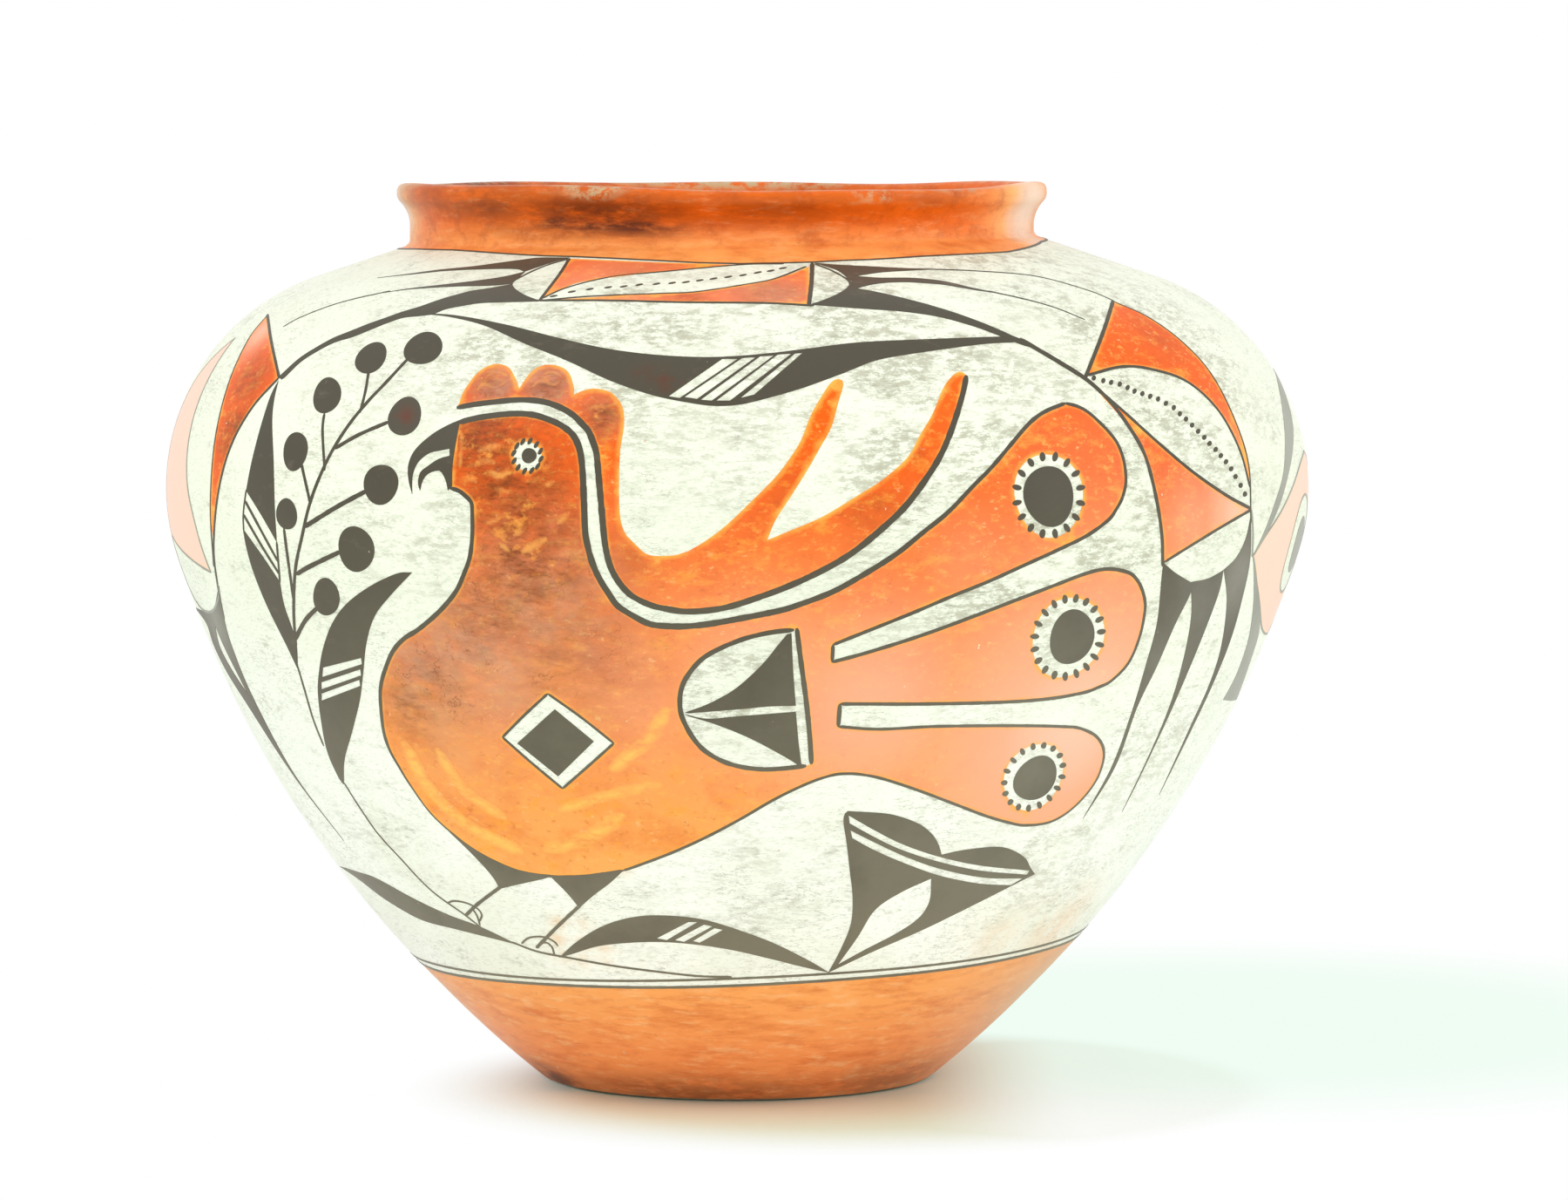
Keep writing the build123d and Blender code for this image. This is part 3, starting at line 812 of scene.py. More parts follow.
def fillFilm(region, lift, flat):
    # outline loops are joined to a net of points inside them, a loop inside another is left bare, and a wall
    # goes down all round; gives turns and wall lengths, lifts, triangles and distances to the edge
    loops = [chartedLoop(runs, flat) for runs in region]
    rim = np.vstack(loops)
    first = np.cumsum([0] + [len(path) for path in loops])
    outlines = [list(range(start, end)) for start, end in zip(first, first[1:])]
    low, high = rim.min(0) + chart["net"] / 4, rim.max(0)
    across, up = (np.arange(low[k], high[k], chart["net"]) for k in (0, 1))
    net = np.stack(np.meshgrid(across, up), -1).reshape(-1, 2)
    net = net + rng.uniform(-chart["jitter"], chart["jitter"], net.shape)
    net = net[nearest(net, rim) > chart["clear"]]
    corners = list(map(Vector, np.vstack([rim, net]).tolist()))
    # made[0] holds the points, made[2] the triangles and made[5] the loops that each triangle lies in
    made = delaunay_2d_cdt(corners, [], outlines, 1, chart["weld"])
    odd = np.fromiter(map(len, made[5]), int) % 2 == 1
    used, tops = np.unique(np.array(made[2])[odd], return_inverse=True)
    tops = tops.reshape(-1, 3)
    spread = np.array(list(map(tuple, made[0])))[used]
    count = len(spread)
    # an edge that only one triangle has is on the border
    sides = np.vstack([tops[:, [0, 1]], tops[:, [1, 2]], tops[:, [2, 0]]])
    key = np.sort(sides, 1) @ np.array([count, 1])
    back, seen = np.unique(key, return_inverse=True, return_counts=True)[1:]
    start, end = sides[seen[back] == 1].T
    halves = [[end, start, start + count], [end, start + count, end + count]]
    walls = np.vstack([np.stack(half, -1) for half in halves])
    faces = np.vstack([tops, tops[:, ::-1] + count, walls])
    place = np.tile(spread / [chart["radius"], 1.0], (2, 1))
    return place, np.repeat([lift, film["sunk"]], count), faces, np.tile(nearest(spread, rim), 2)


def ribbon(path, width, lift, closed):
    # a brushed line: five points across it carried along a path; its width swells and its ends round off
    angle, length = path[:, 0] / chart["radius"], path[:, 1]
    radius = wallPoint(length, 0)[:, 0]
    ahead = np.gradient(path, axis=0)
    if closed:
        ahead = np.roll(path, -1, 0) - np.roll(path, 1, 0)
        ahead[:, 0] = np.abs(ahead[:, 0]).min()
    ahead = ahead * np.stack([radius / chart["radius"], np.ones_like(radius)], -1)
    ahead /= np.hypot(*ahead.T)[:, None]
    side = np.stack([-ahead[:, 1], ahead[:, 0]], -1)
    count = len(path)
    far = np.linspace(0, 1, count)
    wide = np.interp(far, np.linspace(0, 1, np.size(width)), np.atleast_1d(width))
    # a random walk less its own running mean
    steady = stroke["steady"]
    margin = steady // 2
    wave = np.cumsum(rng.normal(0, 1, count + 2 * margin))
    wave = wave[margin:-margin] - np.convolve(wave, np.ones(steady) / steady, "valid")
    wide = wide * (1 + stroke["swell"] * wave)
    if not closed:
        reach = np.minimum(far, 1 - far) * (count - 1) * stroke["step"]
        share = stroke["endShare"] + reach / np.maximum(wide, stroke["leastWidth"])
        wide = wide * np.sqrt(np.clip(share, stroke["endShare"], 1))
    half = wide[:, None] / 2
    lanes = len(stroke["across"])
    offset = np.stack([share * half * side for share in stroke["across"]], 1)
    turns = angle[:, None] + offset[..., 0] / radius[:, None]
    place = np.stack([turns, length[:, None] + offset[..., 1]], -1)
    lifts = np.tile([lift, lift + stroke["ridge"], lift, film["sunk"], film["sunk"]], count)
    edge = np.zeros((count, lanes))
    edge[:, 1] = half[:, 0]
    quads = ringFaces(count, lanes)
    quads = quads if closed else quads[:-lanes]
    faces = np.vstack([quads[:, [0, 1, 2]], quads[:, [0, 2, 3]]])
    if not closed:
        cap = np.array([[0, 1, 2], [0, 2, 3], [0, 3, 4]])
        faces = np.vstack([faces, cap[:, ::-1], cap + (count - 1) * lanes])
    return place.reshape(-1, 2), lifts, faces, edge.reshape(-1)


def merge(films):
    # several films as one, with the corners of their triangles counted on
    places, lifts, faces, edges = zip(*films)
    first = np.cumsum([0] + [len(place) for place in places])
    faces = np.vstack([own + start for own, start in zip(faces, first)])
    return np.vstack(places), np.concatenate(lifts), faces, np.concatenate(edges)


roundDots = {"points": 33, "pinch": 0.03, "lump": 0.025, "start": 0.2}


def leant(x, y, across, up, lean):
    # a step turned by some degrees and taken from a place
    cosine, sine = direction(np.radians(lean))
    return np.stack([x + across * cosine - up * sine, y + across * sine + up * cosine], -1)


def oval(x, y, wide, tall, lean):
    # an ellipse with half its width and height, made a little uneven by two sine waves
    t = np.linspace(0, 2 * np.pi, roundDots["points"])
    uneven = 1 + roundDots["pinch"] * np.sin(2 * t + x) + roundDots["lump"] * np.sin(3 * t + y)
    return [leant(x, y, uneven * wide * np.cos(t), uneven * tall * np.sin(t), lean)]


def dotRing(x, y, wide, tall, lean, count, size):
    # dots round an eye, each a small oval that points away from the middle
    made = []
    for t in allRound(count) + roundDots["start"]:
        spot = leant(x, y, wide * np.cos(t), tall * np.sin(t), lean)
        point = np.degrees(np.arctan2(spot[1] - y, spot[0] - x))
        made.append(oval(*spot, *size, point))
    return made


def apart(*loops):
    # each loop as a fill of its own
    return [[one] for one in loops]


# The painting, laid out by pixels of the photograph. A fill is a list of loops, a loop is a list of runs that
# meet in corners, and a line is its width in mm, or widths along it, and its run. First the bird.
backInner = run(525,485, 545,480, 565,477, 585,475, 600,475, 615,477, 630,482, 643,488, 655,497, 662,508,
    666,522, 668,540, 669,560, 670,585, 671,610, 674,627, 680,648, 689,667, 698,681, 707,694, 718,702,
    730,709, 742,715, 755,718, 785,719, 815,716, 855,709, 895,701, 915,695, 955,680, 990,661, 1030,636,
    1060,612, 1090,588, 1120,557, 1140,537, 1163,510, 1180,490, 1192,479, 1205,471, 1225,463)
tailOne = run(1225,463, 1238,466, 1250,472, 1262,482, 1275,495, 1285,508, 1292,525, 1295,542, 1295,557,
    1291,572, 1284,585, 1275,597, 1250,615, 1215,632, 1175,650, 1135,668, 1095,684, 1050,703, 1000,723,
    957,740)
tailGapOne = run(957,740, 956,760)
tailTwo = run(956,760, 1000,748, 1060,729, 1115,709, 1165,690, 1215,671, 1250,658, 1275,653, 1298,657,
    1307,664, 1313,674, 1317,688, 1317,702, 1311,730, 1298,760, 1278,781, 1262,789, 1245,795, 1205,802,
    1150,806, 1060,808, 1000,808, 965,808)
tailGapTwo = run(965,808, 963,834)
tailThree = run(963,834, 1010,837, 1070,834, 1130,833, 1190,833, 1225,834, 1238,835, 1250,839, 1260,845,
    1267,855, 1269,866, 1267,878, 1262,892, 1254,905, 1245,916, 1235,926, 1222,936, 1208,943, 1195,946,
    1182,947, 1168,946, 1135,937, 1095,922, 1055,907, 1015,894, 990,889, 972,888, 955,890, 928,899,
    890,917, 850,940, 810,961, 770,979, 730,994, 715,999)
belly = run(715,999, 690,1003, 660,1006, 625,1005, 590,998, 560,985, 535,970, 511,951, 490,930, 469,900,
    457,880, 447,862, 441,845, 438,828, 436,800, 437,785, 441,770, 450,748, 463,733, 480,722, 500,705,
    514,690, 524,676, 531,660, 538,640, 541,615, 541,590, 540,577, 533,569, 525,563, 515,560)
faceEdge = run(515,560, 517,545, 519,525, 525,485)
backOuter = run(523,468, 545,464, 580,460, 597,459, 615,460, 630,463, 645,469, 658,477, 668,487, 675,495,
    680,507, 684,520, 686,540, 690,585, 694,625, 700,650, 709,667, 720,680, 730,687, 745,694, 760,698,
    790,702, 830,698, 870,686, 910,671, 950,652, 980,634, 1010,610, 1038,584, 1060,556, 1080,525, 1094,493,
    1106,455, 1111,431)
plumeTwo = run(1111,431, 1106,427, 1099,428, 1090,437, 1083,448, 1072,475, 1057,500, 1043,525, 1015,550,
    985,569, 945,593, 910,608, 881,620)
plumeOne = run(881,620, 890,598, 908,570, 927,540, 943,512, 955,490, 963,462, 969,441, 964,435, 956,438,
    948,448, 932,475, 920,505, 907,526, 890,548, 860,578, 830,606, 800,627, 780,636, 765,638, 750,638,
    740,635, 726,622, 717,612, 712,597, 710,570, 711,522, 715,495, 716,480, 714,467, 708,457, 700,450,
    690,447, 680,446, 670,448, 658,453)
combTwo = run(658,453, 658,444, 653,429, 645,422, 635,419, 624,419, 614,423, 606,430, 595,446)
combOne = run(595,446, 592,437, 585,424, 577,419, 567,418, 557,421, 548,427, 539,437, 529,453, 525,467)
shieldRim = run(912,723, 885,726, 855,733, 825,745, 805,757, 790,774, 782,790, 780,808, 783,824, 794,845,
    808,861, 828,873, 850,880, 875,883, 900,882, 926,879)
shieldBar = run(915,721, 920,760, 926,805, 930,845, 932,877)
shieldField = [shieldRim, run(926,879, 932,877), shieldBar[::-1], run(915,721, 912,723)]
upperVane = loop((786,818, 815,807, 845,790, 875,763, 893,741), (904,728), (909,727, 911,770), (914,810,
    880,811, 850,814), (786,819))
lowerVane = loop((786,820, 812,825, 850,822), (914,817, 917,850), (921,881, 900,868, 860,847, 820,831),
    (786,821))
diamondOuter = loop((628,796, 666,823), (704,853, 676,878), (645,905, 610,876), (576,846, 602,820),
    (628,796))
diamondInner = straight(636,814, 681,851, 640,891, 593,853)
beakTop = loop((527,482, 515,487, 497,497, 480,511, 471,523, 467,537, 468,552), (472,567, 472,550, 474,540,
    480,529, 492,520, 505,517), (515,515), (515,523, 502,527, 490,535, 482,541, 479,550, 479,557),
    (481,563, 484,552, 490,544, 502,540, 507,544, 511,553), (513,563), (518,558, 519,530), (527,482))
thighOne = loop((511,950, 535,969, 560,984, 590,997, 612,1002), (632,1004, 625,1008, 598,1014), (572,1020,
    562,1004, 540,980), (511,952))
thighTwo = loop((630,1005, 660,1006, 690,1003), (716,998, 700,1013, 680,1028), (664,1042, 650,1025),
    (632,1007))
birdLegs = [(0.95, run(574,1017, 547,1037, 532,1051)), (0.95, run(666,1038, 640,1062, 614,1088)),
    (0.55, run(512,1036, 519,1034, 532,1036, 545,1042, 551,1050, 548,1058)), (0.55, run(539,1042, 545,1050,
    549,1062)), (0.55, run(597,1083, 604,1077, 614,1075, 625,1076, 635,1081, 639,1086)),
    (0.55, run(615,1088, 619,1083, 626,1082, 632,1087, 635,1096))]
innerWidths = (1.5, 1.6, 1.6, 1.6, 1.4, 1.0, 1.0)
outerWidths = (1.4, 1.6, 1.6, 1.6, 1.6, 1.4)
bellyWidths = (0.9, 0.95, 0.6, 0.5, 0.55, 1.0, 1.1, 1.2, 1.2, 1.1, 1.0)
eyeRing = oval(604.5, 523.5, 15.5, 17.5, 0)
eyePupil = oval(606.5, 523, 8.6, 8.6, 0)
eyeDashes = [oval(604.5 + 16 * np.cos(t), 523.5 + 17.5 * np.sin(t), 4.6, 2.1, -58)
    for t in allRound(12) + roundDots["start"]]
tailEyes = [oval(1206.5, 569.5, 28.7, 35, 0), oval(1232.7, 731, 24, 33, 22), oval(1190, 893, 21, 29, 38)]
tailRings = [oval(1206.5, 568.5, 39.5, 48, 0), oval(1228, 731.5, 39, 48, 22), oval(1188, 891.5, 31, 41, 38)]
tailDots = [*dotRing(1206.5, 568.5, 37.5, 45, 0, 16, (5.4, 3.2)),
    *dotRing(1228, 731.5, 37.5, 46, 22, 19, (5.2, 3.0)), *dotRing(1188, 891.5, 30, 39.5, 38, 17, (4.0, 2.8))]

# Wipes of a finger on comb, head and belly
tanStrokes = [(1.3, run(546,449, 553,441, 567,444, 581,438)), (1.1, run(557,432, 571,427, 583,433)),
    (1.3, run(609,445, 620,437, 635,442, 643,436)), (1.1, run(622,430, 634,427, 645,433)),
    (2.6, run(547,519, 560,513, 576,512)), (2.4, run(543,535, 555,529, 568,532)), (2.4, run(558,541,
    572,546, 585,542)), (1.8, run(529,496, 528,515, 527,538)), (2.2, run(534,545, 547,554)),
    (2.9, run(597,634, 612,626, 627,617)), (2.2, run(588,615, 604,604)), (2.2, run(572,623, 585,634)),
    (2.0, run(638,602, 654,587)), (2.0, run(557,601, 574,595)), (2.0, run(622,560, 636,552)),
    (2.2, run(566,560, 584,566)), (5.5, run(462,850, 492,906, 540,950, 600,978)), (4.5, run(500,858,
    530,905, 580,940)), (5.0, run(622,976, 672,962, 716,934)), (4.5, run(700,884, 742,850, 766,812)),
    (4.0, run(640,930, 700,912, 760,900))]

# Berry sprig, blade and striped leaf. A berry is (x, y, half its width, half its height, lean).
berries = [(484, 400, 23, 17.5, -30), (423.6, 411, 20.5, 15, -40), (373, 454, 15, 21.5, 15),
    (337, 518, 14, 22, 6), (328, 590, 11.5, 18.5, -6), (463, 478, 18.5, 22.5, 25),
    (436, 556, 19.5, 23.5, 0), (408, 630, 20.5, 26, -6), (374, 685, 15, 21.5, -10)]
stems = [(1.0, run(467,411, 440,440, 420,461, 398,488, 378,520, 363,553, 353,583, 346,615, 339,650,
    337,685, 337,710, 339,742)), (0.8, run(421,426, 417,450, 411,474)), (0.8, run(370,474, 368,495,
    371,540)), (0.9, run(344,532, 349,553, 355,578)), (1.0, run(325,606, 329,635, 337,690)),
    (1.0, run(445,484, 410,499, 382,515)), (1.2, run(420,563, 385,582, 348,605)), (1.2, run(390,633,
    355,650, 340,659)), (1.2, run(364,697, 350,712, 338,734))]
bladeTop = loop((317,437, 308,455, 297,490, 287,530), (281,563, 300,593), (317,622, 314,580, 312,530,
    310,485, 312,460), (317,437))
bladeLow = loop((278,607, 300,637), (321,668, 326,695, 339,735), (341,768, 327,738, 307,697, 291,658,
    282,628), (278,607))
bladeHatch = [(0.85, run(280,575, 300,611, 319,645)), (0.85, run(278,590, 300,627, 321,660))]
stripedLeaf = loop((472,657, 455,658, 425,672, 398,692, 381,715, 370,745, 365,775, 364,795, 367,825,
    374,862, 387,892), (393,900, 394,872, 403,840, 412,805, 416,775, 420,738, 429,708, 446,685), (472,657))
leafBars = [straight(370,766, 414,755, 415,762, 369,777), straight(368,783, 413,768, 414,775, 368,791),
    straight(368,796, 412,780, 413,787, 368,804)]
leafLine = (0.6, run(393,898, 410,925, 432,957, 460,988, 480,1010, 500,1028, 530,1049, 552,1066))
bladeLine = (0.7, run(340,762, 348,790, 358,825, 370,856))

# Plants on the ground, and the swag above the bird
groundLeaf = loop((388,994, 410,1001, 430,1008, 470,1030, 510,1049, 550,1064), (592,1084, 560,1076,
    520,1066, 480,1055, 440,1032, 410,1009), (388,994))
groundLine = (0.7, run(585,1081, 615,1092, 650,1099, 700,1108, 745,1114, 800,1120, 840,1121))
archLeaf = loop((640,1099, 662,1080, 693,1062, 730,1052, 770,1051, 810,1056, 850,1068, 890,1083, 930,1103),
    (952,1116, 920,1109, 880,1099, 840,1090, 800,1084, 760,1081, 720,1082, 685,1086, 655,1095), (640,1099))
archBars = [straight(753,1077, 790,1058, 801,1058, 765,1079), straight(774,1079, 808,1061, 818,1063,
    785,1081), straight(795,1080, 820,1065, 830,1067, 803,1082)]
tulip = loop((951,1116, 965,1090, 977,1060, 979,1030, 976,1000, 972,965, 969,945, 970,935), (974,931,
    1010,933, 1030,936, 1055,945, 1070,956, 1078,968), (1082,981, 1105,976, 1140,972, 1160,974, 1178,984,
    1185,996), (1190,1003, 1160,1018, 1120,1038, 1060,1067, 1000,1093), (951,1116))
tulipLeaf = loop((1070,1008, 1035,1024, 1005,1044, 985,1075), (962,1107, 993,1090, 1028,1072, 1055,1054,
    1068,1034), (1070,1008))
tulipStripes = [loop((975,936, 1005,953, 1035,968, 1075,982, 1125,993), (1184,999), (1181,1004, 1125,999,
    1075,988, 1035,975, 1005,961), (976,945), (975,936)), loop((977,953, 1005,967, 1040,983, 1080,997,
    1130,1007), (1176,1008), (1162,1016, 1125,1014, 1080,1005, 1040,991, 1005,976), (979,962), (977,953))]
swag = loop((480,360, 520,362, 580,373, 640,388, 700,401, 760,408, 820,410, 880,406, 930,400, 990,393,
    1080,389), (1165,386, 1175,392, 1130,395, 1070,403, 1010,413, 970,428, 920,446, 870,460, 845,465,
    820,466, 795,463, 750,454, 700,437, 650,414, 600,394, 555,374, 515,364), (480,360))
swagBars = [straight(767,455, 829,412, 847,412, 780,457), straight(785,456, 852,411, 868,410, 800,458),
    straight(804,459, 873,409, 889,408, 817,460), straight(822,460, 893,407, 909,406, 838,460),
    straight(850,457, 913,406, 922,405, 866,453)]

# The arch of feathers and medallions
bandRight = ((1.7, 1.5, 1.2, 1.1, 1.1, 1.0), run(1172,389, 1215,414, 1250,436, 1275,459, 1297,487,
    1317,522, 1330,570, 1337,615, 1338,650))
featherLeftTop = loop((652,296, 618,296, 600,298, 570,302, 540,306, 500,310, 455,316), (430,319, 470,315,
    510,311, 560,309, 590,309), (600,312, 612,308, 630,302), (652,296))
featherLeftMid = loop((601,312, 575,318, 540,323, 505,327, 470,331), (430,337, 470,332, 520,329, 560,328),
    (585,326), (601,312))
featherLeftLow = loop((584.5,326.6, 560,331, 540,334, 520,339, 500,345, 480,352, 460,358, 440,365, 420,372,
    400,380, 380,388, 360,399, 340,412), (318,432, 322,435, 342,416, 362,403, 382,393, 402,387, 422,379,
    442,371, 460,365, 478,363), (495,361, 510,355, 530,351, 550,348, 580,347), (616,346, 596,338),
    (584.5,326.6))
featherLeftLines = [(0.7, run(652,297, 625,305, 600,316, 585,326, 595,337, 616,346)),
    ((0.45, 0.3), run(445,334, 400,344, 370,353, 340,365, 322,375))]
featherRightTop = loop((936,302, 960,304, 1000,306, 1040,308), (1080,309, 1040,311, 1010,313), (984,317),
    (977,323, 963,311), (936,302))
featherRightMid = loop((982,317, 1010,319, 1040,319, 1060,320, 1085,323, 1120,331), (1150,337, 1120,333,
    1085,327, 1060,325, 1040,324, 1015,325, 996,328), (982,332, 977,326), (982,317))
featherRightLow = loop((977,326, 984,331, 1000,334, 1020,338, 1060,348, 1100,360, 1140,375, 1175,391),
    (1190,400, 1172,395, 1150,386, 1120,375, 1080,364, 1040,358, 1000,355, 960,352), (931,350, 955,341,
    970,333), (977,326))
featherRightLines = [((0.6, 0.4), run(1065,309, 1120,311, 1190,317, 1250,333, 1280,345)),
    ((0.6, 0.3), run(1135,334, 1180,344, 1215,354, 1247,367))]
featherRightDown = [loop((1339,646, 1352,657), (1370,668, 1370,680, 1350,720, 1330,765, 1307,812,
    1282,880), (1245,940, 1278,880, 1300,820, 1317,765, 1331,715, 1337,660), (1339,646)), loop((1370.5,668,
    1390,664), (1407.5,654.5, 1402,680, 1383,730, 1362,780, 1340,830, 1310,893), (1290,932, 1322,865,
    1345,810, 1360,760, 1370,710), (1370.5,668)), loop((1408,654, 1422,640, 1433,618), (1439,590, 1438,640,
    1429,685, 1415,735, 1395,785, 1370,838), (1333,912, 1370,832, 1392,783, 1405,740, 1411,690),
    (1408,654))]
featherLeftDown = loop((250,672, 256,710, 266,745, 290,803, 335,887), (393,965, 335,890, 280,805, 258,770,
    243,740, 235,716), (221,697, 234,702, 244,698), (250,672))
featherLeftGap = loop((245,717, 256,743), (283,797, 264,768, 250,741), (245,717))
medallionTopUpper = loop((653,297, 750,301), (844,304, 790,309, 730,315, 670,323, 645,331), (621,343,
    638,319), (653,297))
medallionTopLower = loop((640,344, 700,340, 760,337, 800,335, 830,331, 860,326, 890,320, 910,314),
    (929,306), (930,349, 860,348, 780,347, 700,345), (640,344))
medallionTopLines = [(0.9, run(652,297, 640,316, 618,345)), (0.6, run(620,343, 650,330, 700,318, 760,312,
    850,304, 900,303)), (0.6, run(620,345, 680,340, 760,337, 800,335, 860,326, 890,320, 926,306)),
    (0.8, run(612,345, 700,345, 780,347, 880,348, 935,351)), (1.1, run(933,302, 932,325, 929,351)),
    (0.6, run(936,303, 960,313, 977,326, 962,340, 932,350))]
medallionTopDashes = run(634,340, 655,335, 676,332, 697,330, 715,329, 733,327, 753,326, 771,325, 787,324,
    803,322, 819,320, 836,318, 853,316, 870,313, 885,311, 899,308)
crescent = loop((1281,346, 1320,364, 1360,393, 1393,430, 1420,483, 1436,535), (1438,560, 1425,515,
    1400,470, 1365,438, 1325,424, 1290,421), (1250,431, 1268,385), (1281,346))
lowerTriangle = loop((1262,448, 1290,470, 1330,506, 1370,540, 1410,568), (1439,584, 1400,608), (1340,645,
    1336,605, 1325,550, 1302,496), (1262,448))
medallionRightLines = [(1.0, run(1280,345, 1268,382, 1248,434)), (0.6, run(1280,346, 1320,364, 1360,393,
    1393,430, 1420,483, 1436,535, 1439,600)), (0.8, run(1250,431, 1290,421, 1325,424, 1365,438, 1400,470,
    1425,515, 1438,560)), (0.9, run(1250,436, 1290,470, 1330,506, 1370,540, 1410,568, 1439,584)),
    (0.8, run(1439,585, 1400,608, 1340,645))]
medallionRightDots = run(1258,434, 1269,437, 1278,439, 1288,441, 1297,445, 1305,449, 1314,452, 1323,455,
    1332,458, 1341,463, 1350,468, 1357,475, 1364,481, 1371,488, 1378,495, 1385,502, 1391,509, 1398,516,
    1404,523, 1410,530, 1416,538, 1421,547, 1427,557, 1432,567)
leftMedallionIn = loop((304,362, 308,390), (318,433, 287,468, 263,512, 249,565), (244,625, 240,580,
    245,505, 260,440, 282,390), (304,362))
leftMedallionLines = [(0.8, run(304,361, 308,390, 318,434)), (0.9, run(318,433, 287,468, 263,512, 249,565,
    244,625, 248,668, 256,710)), (0.6, run(304,362, 282,390, 260,440, 245,505, 240,580, 244,650))]

# At the sides, where half of each shape is out of sight, points are degrees round the jar and mm up its wall
farTriangle = loop((-75.0,238.0, -73.8,228.7, -72.0,213.6, -69.5,197.6, -67.1,186.6), (-65.3,173.6,
    -70.0,175.6, -76.7,178.7), (-82.5,181.5, -84.0,195.0, -83.6,210.0, -81.0,225.0), (-75.0,238.0))
farCap = run(-64.3,171.3, -65.1,167.3, -68.6,162.8, -72.2,161.3, -76.4,162.2, -80.5,166.5, -82.8,174.0,
    -82.5,181.5)
flower = loop((62.5,178.5, 64.7,183.5, 67.8,188.3, 72.3,194.9, 77.0,200.5), (82.0,203.5, 87.0,199.5,
    90.0,190.5, 90.6,179.0, 90.0,167.0, 87.0,157.5), (82.0,153.0, 77.0,154.5, 72.5,158.5, 66.4,169.0),
    (62.5,178.5))
flowerLeafHigh = loop((62.4,178.8, 66.3,191.3, 69.3,198.8, 71.7,206.5, 75.2,215.6, 80.0,222.5),
    (86.5,226.5, 82.0,219.0, 77.5,210.0, 74.0,204.0, 70.5,197.3, 66.6,188.0), (62.4,178.8))
flowerLeafLow = loop((62.5,178.2, 65.2,169.5, 67.4,162.7, 70.2,152.8, 71.2,143.3), (70.3,136.3,
    75.0,135.0), (79.9,134.2, 76.6,143.9, 74.1,154.0, 70.5,161.5, 66.0,170.0), (62.5,178.2))
flowerEye = oval(79.6, 178.6, 6.2, 13.0, 0)
flowerPupil = oval(79.6, 178.6, 3.4, 7.5, 0)

# Soft marks by pixels: (x, y, reach in mm, strength)
birdMarks = [(585, 566, 18, 0.95), (554, 506, 15, 0.95), (608, 492, 13, 0.6), (612, 596, 14, 0.8),
    (602, 640, 18, 0.9), (560, 700, 20, 0.6), (468, 812, 11, 0.6), (640, 745, 24, 0.45), (500, 780, 15, 0.5),
    (640, 505, 9, 0.4)]
combMarks = [(563, 446, 6.6, 0.75), (627, 444, 6.6, 0.75), (690, 478, 6, 0.9), (905, 560, 5, 0.3),
    (715, 640, 8, 0.4), (1010, 590, 9, 0.3), (1050, 520, 5, 0.3)]
medallionMarks = [(285, 435, 9, 0.75), (266, 494, 8, 0.95), (1330, 385, 9, 0.3), (1300, 530, 9, 0.3),
    (880, 335, 10, 0.5), (740, 312, 10, 0.4), (790, 340, 8, 0.45)]
blackMarks = [(463, 480, 3.0, 0.9), (768, 436, 3, 0.7), (740, 430, 2.5, 0.5), (1000, 315, 9, 0.5),
    (560, 305, 9, 0.4)]
rubMarks = [(482, 772, 18, 1.0), (540, 742, 24, 1.0), (524, 836, 18, 0.5), (625, 688, 22, 0.9),
    (565, 442, 6.5, 1.5), (628, 441, 6.5, 1.5), (692, 474, 6, 0.8), (895, 338, 8, 0.7)]
# Painted glare and sheen that pale the orange and the black paint at the jar's sides and over the tail
orangeGlareMarks = [(1235, 835, 46, 1.25), (1425, 590, 18, 1.2), (1375, 605, 16, 0.6), (1120, 655, 18, 0.3),
    (1000, 815, 28, 0.95), (880, 790, 24, 0.75), (735, 805, 20, 0.4), (560, 780, 20, 0.3), (300, 378, 9, 1.1),
    (700, 325, 24, 0.5), (860, 330, 20, 0.4)]
blackGlareMarks = [(243, 705, 12, 1.0), (1425, 660, 12, 0.8), (1380, 690, 18, 0.4), (1330, 770, 15, 0.5),
    (1225, 835, 46, 0.3)]

